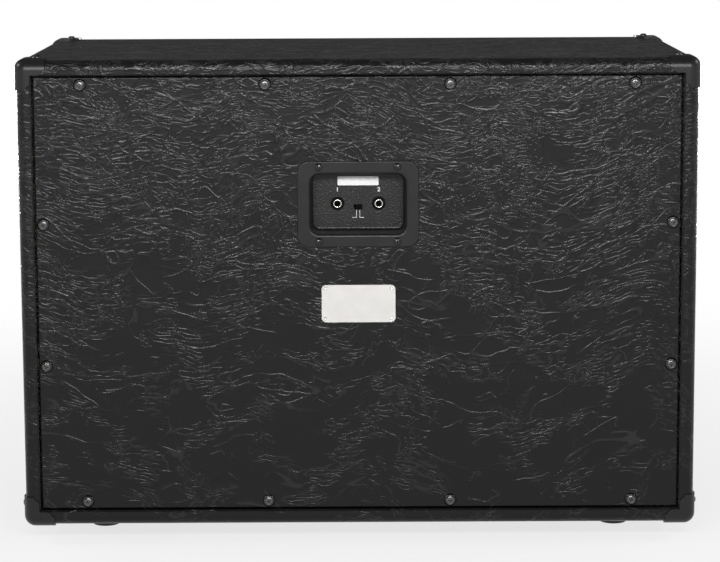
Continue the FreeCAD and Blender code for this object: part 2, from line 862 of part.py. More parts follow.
# Jack sockets: a housing behind the dish, a bright ferrule through it and a nut in front
def jack_housing(side):
    body = new_body(f"jack_{side}")
    outline = sketch_on(body, "XY_Plane")
    rectangle(outline, *both(S.housing_width / 2), *both(S.housing_height / 2))
    extrude(body, "Pad", outline, S.housing_depth, reverse=True)
    seat = sketch_on(body, "XY_Plane")
    circle(seat, S.ferrule_radius)
    extrude(body, "Pocket", seat, S.ferrule_seat)
    room = sketch_on(body, "XY_Plane")
    circle(room, S.plug_room)
    extrude(body, "Pocket", room, S.housing_depth - S.housing_wall)
    lugs = sketch_on(body, "XY_Plane", -S.housing_depth)
    for x in both(S.cable_radius + S.solder_gap + S.lug_width / 2):
        rectangle(lugs, x - S.lug_width / 2, x + S.lug_width / 2, *both(S.lug_thickness / 2))
    extrude(body, "Pad", lugs, S.lug_length, reverse=True)
    return body


jack_sides = (("right", S.jack_spread), ("left", -S.jack_spread))
for side, x in jack_sides:
    node(put(jack_housing(side), (x, dish_floor_back, jack_z), FACING_REAR), f"jack_{side}")
ferrule = turned(
    "ferrule",
    [
        (S.jack_bore, -S.dish_wall - S.ferrule_seat),
        (S.ferrule_radius, -S.dish_wall - S.ferrule_seat),
        (S.ferrule_radius, S.ferrule_stand),
        (S.jack_bore, S.ferrule_stand),
    ],
)
jack_nut = turned(
    "jack_nut",
    [
        (S.ferrule_radius + S.slack, ZERO),
        (S.jack_nut_radius, ZERO),
        (S.jack_nut_radius, S.jack_nut_height),
        (S.ferrule_radius + S.slack, S.jack_nut_height),
    ],
)
jack_places = [(x, dish_floor, jack_z) for _, x in jack_sides]
node(group("jack_ferrules", copies("jack_ferrule", ferrule, jack_places)), "jack_ferrules")
node(group("jack_nuts", copies("jack_nut_pair", jack_nut, jack_places)), "jack_nuts")


# Slide switch: a body with a cavity behind the dish, and a slider whose knob comes through the slot
def switch_body():
    body = new_body("switch_body")
    cavity = (
        S.carrier_width + S.switch_travel + S.switch_slack * 2,
        S.carrier_height + S.switch_slack * 2,
    )
    outline = sketch_on(body, "XY_Plane")
    rectangle(outline, *both(cavity[0] / 2 + S.switch_wall), *both(cavity[1] / 2 + S.switch_wall))
    extrude(body, "Pad", outline, S.switch_depth, reverse=True)
    room = sketch_on(body, "XY_Plane")
    rectangle(room, *both(cavity[0] / 2), *both(cavity[1] / 2))
    extrude(body, "Pocket", room, S.carrier_thickness + S.switch_slack * 2)
    return put(body, (ZERO, dish_floor_back, switch_z), FACING_REAR)


def switch_slider():
    body = new_body("switch_slider")
    carrier = sketch_on(body, "XY_Plane", -S.switch_slack)
    rectangle(carrier, *both(S.carrier_width / 2), *both(S.carrier_height / 2))
    extrude(body, "Pad", carrier, S.carrier_thickness, reverse=True)
    knob = sketch_on(body, "XY_Plane", -S.switch_slack)
    rectangle(knob, *both(S.knob_width / 2), *both(S.knob_height / 2))
    extrude(body, "Pad", knob, S.switch_slack + S.dish_wall + S.knob_stand)
    return put(body, (-S.switch_travel / 2, dish_floor_back, switch_z), FACING_REAR)


node(switch_body(), "switch_body")
node(switch_slider(), "switch_slider")

# Rating plate and its rivets
rating_plate = new_body("plate_blank")
plate_outline = sketch_on(rating_plate, "XY_Plane")
rounded(plate_outline, S.plate_width, S.plate_height, S.plate_round)
extrude(rating_plate, "Pad", plate_outline, S.plate_thickness)
put(rating_plate, (ZERO, panel_face, plate_z), FACING_REAR)
node(cut("rating_plate", rating_plate, rivet_bores), "rating_plate")
rivet = turned(
    "rivet",
    [
        (ZERO, -S.rivet_length),
        (S.rivet_shank, -S.rivet_length),
        (S.rivet_shank, ZERO),
        (S.rivet_radius, ZERO),
        (ZERO, S.rivet_crown, dome_radius(S.rivet_radius, S.rivet_crown)),
    ],
)
node(group("rating_plate_rivets", copies("plate_rivet", rivet, rivet_places)), "rating_plate_rivets")


# Corner protectors: a moulded skin over the corner, with three flaps
def flap_region(name, role, lift, first, second, length, legs):
    """The room of one flap near a corner, from the edges of the two faces beside it."""
    body = new_body(name)
    sketch = sketch_on(body, role, lift)
    outside = (first + S.guard_skin, second + S.guard_skin)
    leg = S.guard_arm if legs else S.guard_leg
    inside = (first - leg, second - leg)
    band = (first - S.guard_band, second - S.guard_band)
    bend = S.guard_end_round if legs else S.guard_flap_round
    if legs:
        end = [
            (inside[0], band[1] + bend),
            (inside[0] + bend, band[1], bend),
            band,
            (band[0], inside[1] + bend),
            (band[0] + bend, inside[1], bend),
        ]
    else:
        end = [(inside[0], inside[1] + bend), (inside[0] + bend, inside[1], bend)]
    draw(sketch, [(outside[0], inside[1]), outside, (inside[0], outside[1])] + end)
    extrude(body, "Pad", sketch, length)
    return body


flap_depth = S.edge_round + S.guard_skin
flaps = doc.addObject("Part::MultiFuse", "flap_regions")
flaps.Shapes = [
    flap_region("top_flap", "XY_Plane", high - S.edge_round, half_width, rear, flap_depth, False),
    flap_region("side_flap", "YZ_Plane", half_width - S.edge_round, rear, high, flap_depth, False),
    flap_region("rear_flap", "XZ_Plane", -rear - S.guard_skin, half_width, high, flap_depth, True),
]
guard = boolean("Common", "guard", cut("guard_skin_form", guard_form, shell_form), flaps)
guard_pair = group("guard_pair", [guard, mirrored("guard_left", guard, Vector(1, 0, 0))])
low_pair = mirrored("guard_low", guard_pair, Vector(0, 0, 1), (ZERO, ZERO, middle))
guards = group("rear_guards", [guard_pair, low_pair])
front_guards = mirrored("front_guards", guards, Vector(0, 1, 0))
node(cut("rear_corner_protectors", guards, corner_bores), "rear_corner_protectors")
node(cut("front_corner_protectors", front_guards, corner_bores), "front_corner_protectors")
corner_links = [copies("corner_screw", pan_head_screw, places, turn) for places, turn in corner_spots]
node(group("corner_screws", sum(corner_links, [])), "corner_screws")

# Feet
foot = turned(
    "foot",
    [
        (S.foot_sink_radius, ZERO),
        (S.foot_low_radius - S.foot_ease, ZERO),
        (S.foot_low_radius, S.foot_ease),
        (S.foot_top_radius, S.foot_height),
        (screw_bore, S.foot_height),
        (screw_bore, foot_ceiling),
        (S.foot_sink_radius, foot_ceiling),
    ],
)
foot_screw = pan_screw("foot_screw", S.foot_screw_length)
node(group("rubber_feet", copies("rubber_foot", foot, foot_places, AXIS_UP)), "rubber_feet")
node(group("foot_screws", copies("foot_screw_set", foot_screw, foot_screw_places, AXIS_DOWN)), "foot_screws")


# Side handles: a flange, a tapered recess and a grip across it
def side_handle(side):
    body = new_body(f"side_handle_{side}")
    flange = sketch_on(body, "XY_Plane")
    rounded(flange, handle_length, handle_height, S.handle_round)
    extrude(body, "Pad", flange, S.handle_flange)
    ease(body, S.handle_edge, lies_at("Z", S.handle_flange))
    tub = sketch_on(body, "XY_Plane")
    rim = S.handle_wall * 2
    bend = S.handle_mouth_round + S.handle_wall
    rounded(tub, S.handle_mouth_length + rim, S.handle_mouth_height + rim, bend)
    draft = lean_angle(-S.handle_lean, S.handle_depth)
    extrude(body, "Pad", tub, S.handle_depth, reverse=True, draft=draft)
    mouth = sketch_on(body, "XY_Plane", S.handle_flange)
    rounded(mouth, S.handle_mouth_length, S.handle_mouth_height, S.handle_mouth_round)
    extrude(body, "Pocket", mouth, S.handle_flange + S.handle_depth - S.handle_wall, draft=draft)
    ease(body, S.handle_mouth_ease, lies_at("Z", S.handle_flange, S.handle_mouth_length / 2))
    grip = sketch_on(body, "YZ_Plane")
    grip_level = -S.grip_sink - S.grip_thickness / 2
    rounded(grip, S.grip_height, S.grip_thickness, S.grip_round, S.grip_up, grip_level)
    bar = extrude(body, "Pad", grip, S.handle_mouth_length)
    bar.Midplane = True
    holes = sketch_on(body, "XY_Plane", S.handle_flange)
    for x, y in spread(handle_screw_across, handle_screw_up):
        circle(holes, screw_bore, x, y)
    extrude(body, "Pocket", holes, S.handle_flange)
    return body


for side, place, turn, _, _ in handle_spots:
    node(put(side_handle(side), place, turn), f"side_handle_{side}")
handle_links = [
    copies("handle_screw", pan_head_screw, handle_screw_places[side], axis)
    for side, _, _, axis, _ in handle_spots
]
node(group("handle_screws", sum(handle_links, [])), "handle_screws")

# Grille: a frame with a middle stile, cloth stretched over it, and hook and loop strips behind
frame_half_width = lined[0] - S.grille_gap - S.cloth
frame_half_height = inner_half_height - S.covering - S.grille_gap - S.cloth
frame_levels = (middle - frame_half_height, middle + frame_half_height)
frame_room = (frame_levels[0] + S.grille_rail, frame_levels[1] - S.grille_rail)
frame_span = (frame_front, frame_back)
frame_cut = (frame_front - S.overrun, frame_back + S.overrun)
opening = (S.grille_rail / 2, frame_half_width - S.grille_rail)
grille_blank = block("grille_blank", both(frame_half_width), frame_span, frame_levels)
node(
    cut(
        "grille_frame",
        grille_blank,
        block("grille_room_right", opening, frame_cut, frame_room),
        block("grille_room_left", (-opening[1], -opening[0]), frame_cut, frame_room),
    ),
    "grille_frame",
)
cloth_form = block(
    "cloth_form",
    both(frame_half_width + S.cloth),
    (cloth_face, frame_back),
    (frame_levels[0] - S.cloth, frame_levels[1] + S.cloth),
)
cloth_room = block("cloth_room", both(frame_half_width), (frame_front, frame_back + S.overrun), frame_levels)
node(cut("grille_cloth", cloth_form, cloth_room), "grille_cloth")
strip = doc.addObject("Part::Box", "fastening_strip")
bind(strip, "Length", S.strip_length)
bind(strip, "Width", S.strip_thickness)
bind(strip, "Height", S.strip_width)
strip_rise = frame_half_height - S.grille_rail / 2
strip_places = [
    (x - S.strip_length / 2, frame_back, middle + z - S.strip_width / 2)
    for x in (-S.strip_across, ZERO, S.strip_across)
    for z in both(strip_rise)
]
node(group("hook_and_loop_strips", copies("grille_strip", strip, strip_places)), "hook_and_loop_strips")

# Baffle, its cleats and screws
cleat_middle = (inner_half_width - S.cleat / 2, inner_half_height - S.cleat / 2)
baffle_screw_spots = spread(S.baffle_screw_across, cleat_middle[1])
baffle_screw_spots += spread(cleat_middle[0], S.baffle_screw_up)
baffle_screw_places = [(x, baffle_front, middle + z) for x, z in baffle_screw_spots]
baffle_bores = bores("baffle_bores", screw_bore, S.baffle_screw_length, baffle_screw_places, AXIS_FRONT)
speaker_sides = (("right", speaker_x), ("left", -speaker_x))
half_pitch = math.pi / BOLTS
bolt_spots = [
    (x + bolt_circle * math.cos(angle), middle + bolt_circle * math.sin(angle))
    for _, x in speaker_sides
    for angle in [half_pitch * (2 * index + 1) for index in range(BOLTS)]
]
speaker_holes = bores(
    "speaker_holes",
    S.speaker_cutout,
    S.baffle_board + S.overrun,
    [(x, baffle_back, middle) for _, x in speaker_sides],
    AS_DRAWN,
)
insert_bores = bores(
    "insert_bores",
    S.insert_barrel_radius + S.slack,
    S.baffle_board + S.overrun,
    [(x, baffle_back, z) for x, z in bolt_spots],
    AS_DRAWN,
)
baffle_blank = block(
    "baffle_blank",
    both(inner_half_width - S.baffle_gap),
    (baffle_front, baffle_back),
    (inner_low + S.baffle_gap, inner_high - S.baffle_gap),
)
node(cut("baffle_board", baffle_blank, speaker_holes, insert_bores, baffle_bores), "baffle_board")
front_ring = cleat_ring("front_cleat", baffle_back, baffle_back + S.cleat)
node(cut("front_cleats", front_ring, baffle_bores), "front_cleats")
baffle_screw = pan_screw("baffle_screw", S.baffle_screw_length)
baffle_links = copies("baffle_screw_set", baffle_screw, baffle_screw_places, AXIS_FRONT)
node(group("baffle_screws", baffle_links), "baffle_screws")

# Speaker bolts from behind, and the threaded inserts that they pull on
flange_front = S.gasket + S.surround_skin
flange_back = flange_front + S.basket_steel
bolt = new_body("speaker_bolt")
bolt_head = sketch_on(bolt, "XY_Plane")
hex_angles = [math.pi / 3 * corner for corner in range(6)]
hex_radius = S.bolt_head_radius
draw(bolt_head, [(hex_radius * math.cos(angle), hex_radius * math.sin(angle)) for angle in hex_angles])
extrude(bolt, "Pad", bolt_head, S.bolt_head_height)
bolt_stem = sketch_on(bolt, "XY_Plane")
circle(bolt_stem, S.bolt_shank)
extrude(bolt, "Pad", bolt_stem, S.bolt_length, reverse=True)
bolt_places = [(x, baffle_back + flange_back, z) for x, z in bolt_spots]
node(group("speaker_bolts", copies("speaker_bolt_set", bolt, bolt_places, FACING_REAR)), "speaker_bolts")
bolt_bore = S.bolt_shank + S.slack
insert = turned(
    "insert",
    [
        (bolt_bore, -S.insert_barrel),
        (S.insert_barrel_radius, -S.insert_barrel),
        (S.insert_barrel_radius, ZERO),
        (S.insert_flange_radius, ZERO),
        (S.insert_flange_radius, S.insert_flange),
        (bolt_bore, S.insert_flange),
    ],
)
insert_places = [(x, baffle_front, z) for x, z in bolt_spots]
node(group("baffle_inserts", copies("baffle_insert", insert, insert_places, AXIS_FRONT)), "baffle_inserts")


def ring_of(body, outline, count, name):
    """Cuts an outline through a turned body, repeated round its axis."""
    pocket = body.newObject("PartDesign::Pocket", f"{body.Name}_{name}")
    pocket.Profile = outline
    pocket.Type = "ThroughAll"
    pattern = body.newObject("PartDesign::PolarPattern", f"{body.Name}_{name}_ring")
    pattern.Originals = [pocket]
    pattern.Axis = (outline, ["N_Axis"])
    pattern.Angle = 360
    pattern.Occurrences = count
    body.Tip = pattern


def bolt_ring(body):
    hole = sketch_on(body, "XZ_Plane")
    circle(hole, bolt_bore, bolt_circle * math.cos(half_pitch), bolt_circle * math.sin(half_pitch))
    ring_of(body, hole, BOLTS, "bolt_holes")


basket_mouth = S.speaker_cutout + S.basket_mouth_step
basket_shoulder = basket_mouth - S.basket_taper
spider_seat_outer = S.spider_seat_inner + S.spider_seat_width
basket_depth = S.spider_seat_depth + S.spider_room


def basket(side):
    """A pressed steel basket: flange, wall, windows, spider seat and floor."""
    front_face = [
        (basket_radius, flange_front),
        (basket_mouth, flange_front),
        (basket_shoulder, S.basket_shoulder_depth),
        (spider_seat_outer, S.spider_seat_depth),
        (S.spider_seat_inner, S.spider_seat_depth),
        (S.spider_seat_inner - S.basket_floor_taper, basket_depth),
        (S.basket_hole, basket_depth),
    ]
    steel = S.basket_steel
    ends = (0, len(front_face) - 1)
    back_face = [
        (radius if index in ends else radius + steel, depth + steel)
        for index, (radius, depth) in enumerate(front_face)
    ]
    body = turned(f"basket_{side}", front_face + back_face[::-1])
    half = math.pi / WINDOWS * window_share
    window = sketch_on(body, "XZ_Plane")
    inner = spider_seat_outer + S.window_heel
    outer = basket_shoulder - S.window_head
    draw(
        window,
        [
            (inner * math.cos(half), inner * -math.sin(half), -inner),
            (outer * math.cos(half), outer * -math.sin(half)),
            (outer * math.cos(half), outer * math.sin(half), outer),
            (inner * math.cos(half), inner * math.sin(half)),
        ],
    )
    ring_of(body, window, WINDOWS, "windows")
    bolt_ring(body)
    return body


# Depths and radii of the motor, from the baffle's rear face
former_inner = S.pole_radius + S.coil_gap
former_outer = former_inner + S.former
winding_outer = former_outer + S.winding
motor_front = basket_depth + S.basket_steel
magnet_front = motor_front + S.top_plate
magnet_back = magnet_front + S.magnet
winding_ends = [motor_front + S.top_plate / 2 + end for end in both(S.winding_length / 2)]
former_end = winding_ends[1] + S.former_tail
collar_inner = former_outer + S.slack
neck_depth = S.spider_seat_depth - S.spider_skin - S.collar_gap - S.cone_collar
neck = (collar_inner, neck_depth)
cone_radius = basket_mouth - S.surround_span
rim_edge = (cone_radius, S.cone_edge_depth)
cone_run = (rim_edge[0] - neck[0], rim_edge[1] - neck[1])
cone_bend = root(cone_run[0] * cone_run[0] + cone_run[1] * cone_run[1]) * cone_bend_share


def cone_depth_at(radius):
    """The depth of the cone's front face at a radius, from the arc between its neck and its edge."""
    reach_share = math.sqrt(cone_bend_share**2 - 1 / 4)
    centre_radius = (neck[0] + rim_edge[0]) / 2 - cone_run[1] * reach_share
    centre_depth = (neck[1] + rim_edge[1]) / 2 + cone_run[0] * reach_share
    offset = radius - centre_radius
    return centre_depth - root(cone_bend * cone_bend - offset * offset)


def cone(name):
    paper = S.cone_paper
    return turned(
        name,
        [
            neck,
            rim_edge + (cone_bend,),
            (rim_edge[0], rim_edge[1] + paper),
            (neck[0] + paper, neck[1] + paper, -cone_bend),
            (neck[0] + paper, neck[1] + S.cone_collar),
            (neck[0], neck[1] + S.cone_collar),
        ],
    )


def dust_cap(name):
    seat = cone_depth_at(S.cap_radius) - S.slack
    bend = dome_radius(S.cap_radius, S.cap_rise)
    inner_bend = dome_radius(S.cap_radius - S.cone_paper, S.cap_rise - S.cone_paper)
    return turned(
        name,
        [
            (S.cap_radius, seat),
            (ZERO, seat - S.cap_rise, -bend),
            (ZERO, seat - S.cap_rise + S.cone_paper),
            (S.cap_radius - S.cone_paper, seat, inner_bend),
        ],
    )


def voice_coil(name):
    return turned(
        name,
        [
            (former_inner, neck_depth),
            (former_outer, neck_depth),
            (former_outer, winding_ends[0]),
            (winding_outer, winding_ends[0]),
            (winding_outer, winding_ends[1]),
            (former_outer, winding_ends[1]),
            (former_outer, former_end),
            (former_inner, former_end),
        ],
    )


def surround(name):
    """Two rolls from the edge of the cone, and a lip under the gasket."""
    skin = S.surround_skin
    start = cone_radius + S.surround_gap
    wall = basket_mouth - S.surround_gap - skin
    between = (start + wall) / 2
    roll = (between - start) * roll_bend_share
    lip = basket_mouth + S.surround_lip
    level = S.cone_edge_depth + S.slack
    return turned(
        name,
        [
            (start, level),
            (between, level, roll),
            (wall, level, roll),
            (wall, S.gasket),
            (lip, S.gasket),
            (lip, flange_front),
            (wall + skin, flange_front),
            (wall + skin, level + skin),
            (wall, level + skin),
            (between, level + skin, -roll),
            (start, level + skin, -roll),
        ],
    )


def spider(name):
    """A corrugated ring from the voice coil to its seat in the basket."""
    skin = S.spider_skin
    start = former_outer + S.spider_gap
    step = (S.spider_seat_inner - start) / (2 * SPIDER_WAVES + 1)
    half_wave = S.spider_wave / 2
    crests = [
        (start + step * index, S.spider_seat_depth + (half_wave if index % 2 else -half_wave))
        for index in range(1, 2 * SPIDER_WAVES + 1)
    ]
    level = S.spider_seat_depth
    rim = [(S.spider_seat_inner, level), (S.spider_seat_inner + S.spider_rim, level)]
    back_face = [(start, level)] + crests + rim
    front_face = [(radius, depth - skin) for radius, depth in back_face]
    return turned(name, back_face + front_face[::-1])


def ring(name, inner, outer, near, far):
    return turned(name, [(inner, near), (outer, near), (outer, far), (inner, far)])


def yoke(name):
    """The back plate with its pole."""
    back = magnet_back + S.yoke
    return turned(
        name,
        [
            (ZERO, motor_front),
            (S.pole_radius, motor_front),
            (S.pole_radius, magnet_back),
            (S.yoke_radius, magnet_back),
            (S.yoke_radius, back),
            (ZERO, back),
        ],
    )


def pipe(name, points, bend, radius):
    """A round lead along straight runs joined by tangent arcs."""
    spots = [Vector(*[length.value for length in point]) for point in points]
    edges = []
    start = spots[0]
    for before, corner, after in zip(spots, spots[1:], spots[2:]):
        inward = (before - corner).normalize()
        outward = (after - corner).normalize()
        opening_angle = inward.getAngle(outward)
        setback = bend.value / math.tan(opening_angle / 2)
        bisector = (inward + outward).normalize()
        heart = corner + bisector * (bend.value / math.sin(opening_angle / 2))
        ends = (corner + inward * setback, corner + outward * setback)
        edges.append(Part.LineSegment(start, ends[0]).toShape())
        edges.append(Part.Arc(ends[0], heart - bisector * bend.value, ends[1]).toShape())
        start = ends[1]
    edges.append(Part.LineSegment(start, spots[-1]).toShape())
    section = Part.Wire(Part.Circle(spots[0], spots[1] - spots[0], radius.value).toShape())
    item = doc.addObject("Part::Feature", name)
    item.Shape = Part.Wire(edges).makePipeShell([section], True, False)
    return item


# Terminal strip above each magnet, on the back of the spider seat, and its tags
seat_back = baffle_back + S.spider_seat_depth + S.basket_steel
strip_low = middle + (S.spider_seat_inner + spider_seat_outer - S.strip_board_height) / 2
tag_low = strip_low + S.strip_board_height - S.tag_hold
tag_top = tag_low + S.tag_length
tag_face = seat_back + S.strip_board
tag_span = (tag_face, tag_face + S.tag_thickness)
tag_spread = S.cable_radius + S.solder_gap + S.tag_width / 2


def terminals(name, x):
    strip_board = block(
        f"{name}_board",
        (x - S.strip_board_width / 2, x + S.strip_board_width / 2),
        (seat_back, tag_face),
        (strip_low, strip_low + S.strip_board_height),
    )
    tags = [
        block(f"{name}_tag", (spot - S.tag_width / 2, spot + S.tag_width / 2), tag_span, (tag_low, tag_top))
        for spot in (x - tag_spread, x + tag_spread)
    ]
    return [strip_board] + tags


def tinsel_leads(name, x):
    """From each tag through a window to the back of the cone."""
    rise = tag_top - S.tag_width / 2
    turn_y = tag_face - S.lead_drop
    end_y = baffle_back + cone_depth_at(S.lead_reach) + S.cone_paper + S.lead_gap
    return group(
        name,
        [
            pipe(
                f"{name}_wire",
                [
                    (spot, tag_face - S.solder_gap, rise),
                    (spot, turn_y, rise),
                    (spot, end_y, middle + S.lead_reach),
                ],
                S.lead_bend,
                S.lead_radius,
            )
            for spot in (x - tag_spread, x + tag_spread)
        ],
    )


terminal_pieces = []
gasket_pieces = []
for side, x in speaker_sides:
    heart = (x, baffle_back, middle)
    node(put(basket(side), heart), f"basket_{side}")
    for name, piece in (("cone", cone), ("dust_cap", dust_cap), ("voice_coil", voice_coil)):
        node(put(piece(f"{name}_{side}"), heart), f"{name}_{side}")
    for name, piece in (("surround", surround), ("spider", spider), ("yoke", yoke)):
        node(put(piece(f"{name}_{side}"), heart), f"{name}_{side}")
    plate_bore = winding_outer + S.coil_gap
    top_plate = ring(f"top_plate_{side}", plate_bore, S.top_plate_radius, motor_front, magnet_front)
    node(put(top_plate, heart), f"top_plate_{side}")
    magnet = ring(f"magnet_{side}", S.magnet_hole, S.magnet_radius, magnet_front, magnet_back)
    node(put(magnet, heart), f"magnet_{side}")
    gasket_radii = (S.speaker_cutout + S.gasket_step, bolt_circle + S.gasket_rim)
    seal = ring(f"gasket_{side}", *gasket_radii, ZERO, S.gasket)
    bolt_ring(seal)
    gasket_pieces.append(put(seal, heart))
    terminal_pieces += terminals(f"terminals_{side}", x)
    node(tinsel_leads(f"tinsel_leads_{side}", x), f"tinsel_leads_{side}")
node(group("speaker_gaskets", gasket_pieces), "speaker_gaskets")
node(group("speaker_terminals", terminal_pieces), "speaker_terminals")

# Cables from between the lugs of the jacks to between the tags of the speakers
lug_hold = dish_floor_back - S.housing_depth - S.lug_length + S.cable_hold
tag_end = tag_top - S.cable_hold
tag_middle = tag_face + S.tag_thickness / 2
cables = [
    pipe(
        f"speaker_cable_{side}",
        [
            (jack_x, lug_hold, jack_z),
            (jack_x, lug_hold - S.cable_run, jack_z),
            (tag_x, tag_middle, tag_end + S.cable_lift),
            (tag_x, tag_middle, tag_end),
        ],
        S.cable_bend,
        S.cable_radius,
    )
    for (side, jack_x), (_, tag_x) in zip(jack_sides, speaker_sides)
]
node(group("speaker_cables", cables), "speaker_cables")

doc.recompute()
for item in doc.Objects:
    if {"Invalid", "Error"} & set(item.State):
        raise RuntimeError(f"{item.Label} failed: {item.State}")
for item in nodes:
    if item.Shape.isNull() or not item.Shape.isValid():
        raise RuntimeError(f"{item.Label} has no valid shape")
os.makedirs("parts", exist_ok=True)
for item in nodes:
    item.Shape.exportStep(f"parts/{item.Label}.step")
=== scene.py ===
import json
import math

import bmesh
import bpy
from mathutils import Matrix, Vector


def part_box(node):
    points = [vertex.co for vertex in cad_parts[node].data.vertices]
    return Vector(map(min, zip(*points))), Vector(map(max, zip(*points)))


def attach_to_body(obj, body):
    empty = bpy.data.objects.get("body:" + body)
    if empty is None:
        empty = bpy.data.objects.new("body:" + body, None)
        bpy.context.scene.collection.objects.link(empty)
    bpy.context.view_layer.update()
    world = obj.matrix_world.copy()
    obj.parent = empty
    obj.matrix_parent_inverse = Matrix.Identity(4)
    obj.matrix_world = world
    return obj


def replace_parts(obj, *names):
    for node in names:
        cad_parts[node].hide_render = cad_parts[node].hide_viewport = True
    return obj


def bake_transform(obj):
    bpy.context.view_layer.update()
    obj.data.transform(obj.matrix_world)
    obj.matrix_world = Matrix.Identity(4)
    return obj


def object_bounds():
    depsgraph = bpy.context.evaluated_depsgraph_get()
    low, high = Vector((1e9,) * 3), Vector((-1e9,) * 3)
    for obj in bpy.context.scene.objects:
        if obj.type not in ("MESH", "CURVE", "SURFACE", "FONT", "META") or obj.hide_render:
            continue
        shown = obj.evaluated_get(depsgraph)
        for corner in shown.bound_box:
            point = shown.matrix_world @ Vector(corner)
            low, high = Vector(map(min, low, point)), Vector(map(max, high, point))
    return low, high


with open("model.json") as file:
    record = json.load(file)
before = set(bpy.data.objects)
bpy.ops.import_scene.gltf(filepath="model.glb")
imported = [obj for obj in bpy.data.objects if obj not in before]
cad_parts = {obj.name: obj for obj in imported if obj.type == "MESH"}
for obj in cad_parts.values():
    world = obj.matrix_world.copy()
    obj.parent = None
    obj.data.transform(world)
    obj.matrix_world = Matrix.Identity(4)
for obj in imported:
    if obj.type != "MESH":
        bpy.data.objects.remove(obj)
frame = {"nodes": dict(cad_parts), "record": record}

CAD_LOW, CAD_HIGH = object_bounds()
MIDDLE = (CAD_LOW + CAD_HIGH) / 2
CABINET = "cabinet"
SLOT_OF = {row["node"]: row["material_slot"] for row in frame["record"]["subparts"]}

# Camera, fitted to the edges of the cabinet in a frame of 720 by 562 pixels.
CAMERA_PLACE = Vector((-0.00185, 2.7177, 0.7023))
CAMERA_PITCH = math.radians(8.169)
CAMERA_ROLL = math.radians(-0.27)
CAMERA_LENS = 121.94
CAMERA_SHIFT = -0.07
CAMERA_REACH = 60.0

# Turns for shapes drawn on X and Y, so that their own Z points out of the rear or the front.
FACING_REAR = Matrix(((-1, 0, 0, 0), (0, 0, 1, 0), (0, 1, 0, 0), (0, 0, 0, 1)))
FACING_FRONT = Matrix(((1, 0, 0, 0), (0, 0, -1, 0), (0, 1, 0, 0), (0, 0, 0, 1)))

# Meshes: steps of round forms, how near points are welded, and from which angle an edge is sharp.
CIRCLE_POINTS = 96
CORNER_STEPS = 6
WELD = 1e-6
SHARP = math.radians(40)

# Noise goes from 0 to 1, but mostly keeps to the middle of that range.
NOISE_MIDDLE = 0.5
NOISE_LOW, NOISE_HIGH = 0.3, 0.7
CLOUD_LOW, CLOUD_HIGH = 0.35, 0.65


class Field:
    """A number, vector or colour over a surface: one socket, whose operators add maths nodes."""

    def __init__(self, graph, socket):
        self.graph = graph
        self.socket = socket

    def joined(self, operation, *values):
        """A Math node on these values, or a Vector Math node if one of them is a vector or a colour."""
        kind = "ShaderNodeMath"
        if not all(is_number(value) for value in values):
            kind = "ShaderNodeVectorMath"
            values = [(value,) * 3 if isinstance(value, (int, float)) else value for value in values]
        return self.graph.node(kind, {"operation": operation}, dict(enumerate(values)))

    def __add__(self, other):
        return self.joined("ADD", self, other)

    def __radd__(self, other):
        return self.joined("ADD", other, self)

    def __sub__(self, other):
        return self.joined("SUBTRACT", self, other)

    def __rsub__(self, other):
        return self.joined("SUBTRACT", other, self)

    def __mul__(self, other):
        return self.joined("MULTIPLY", self, other)

    def __rmul__(self, other):
        return self.joined("MULTIPLY", other, self)

    def __gt__(self, other):
        return self.joined("GREATER_THAN", self, other)

    def __abs__(self):
        return self.joined("ABSOLUTE", self)

    def either(self, other):
        """The larger of two values."""
        return self.joined("MAXIMUM", self, other)

    def wave(self, length):
        """A sine wave of a length along this value."""
        return self.joined("SINE", self * (2 * math.pi / length))

    def axis(self, number):
        """One part of a vector: 0 is X, 1 is Y and 2 is Z."""
        return self.graph.node("ShaderNodeSeparateXYZ", {}, {0: self}, number)

    def fade(self, start, end, low=0.0, high=1.0):
        """Goes smoothly from low to high as this value goes from start to end."""
        return self.graph.node(
            "ShaderNodeMapRange",
            {"interpolation_type": "SMOOTHSTEP"},
            {"Value": self, "From Min": start, "From Max": end, "To Min": low, "To Max": high},
        )

    def spread(self, low=0.0, high=1.0):
        """Noise taken to the range from low to high."""
        return self.fade(NOISE_LOW, NOISE_HIGH, low, high)

    def ridge(self, width):
        """One along the lines where noise is at its middle, and nothing past the width."""
        return abs(self - NOISE_MIDDLE).fade(0.0, width, 1.0, 0.0)


def is_number(value):
    """Whether a value is a plain number or a number's socket, and not a vector or a colour."""
    if isinstance(value, Field):
        return value.socket.type == "VALUE"
    return isinstance(value, (int, float))


class Graph:
    """A node tree with the one method that adds nodes to it."""

    def __init__(self, owner):
        owner.use_nodes = True
        self.tree = owner.node_tree

    def node(self, kind, settings, values, output=0):
        """Adds a node, sets it up, fills or links its sockets and returns one of its outputs."""
        made = self.tree.nodes.new(kind)
        for name, value in settings.items():
            setattr(made, name, value)
        for key, value in values.items():
            if isinstance(value, Field):
                self.tree.links.new(value.socket, made.inputs[key])
            else:
                made.inputs[key].default_value = value
        return Field(self, made.outputs[output])

    def join(self, field, node_name, socket):
        self.tree.links.new(field.socket, self.tree.nodes[node_name].inputs[socket])

    def noise(self, place, period, detail=0.0, rough=0.5, output=0):
        """Noise whose lumps are about one period long, which may differ along the three axes."""
        periods = period if isinstance(period, tuple) else (period,) * 3
        steps = tuple(1 / length for length in periods)
        values = {"Vector": place * steps, "Scale": 1.0, "Detail": detail, "Roughness": rough}
        return self.node("ShaderNodeTexNoise", {}, values, output)

    def wander(self, place, period, detail=0.0):
        """A vector that wanders about zero, with lumps about one period long."""
        return self.noise(place, period, detail, output=1) - NOISE_MIDDLE

    def blend(self, mask, low, high):
        """A colour between low and high."""
        return self.node("ShaderNodeMix", {"data_type": "RGBA"}, {0: mask, 6: low, 7: high}, 2)


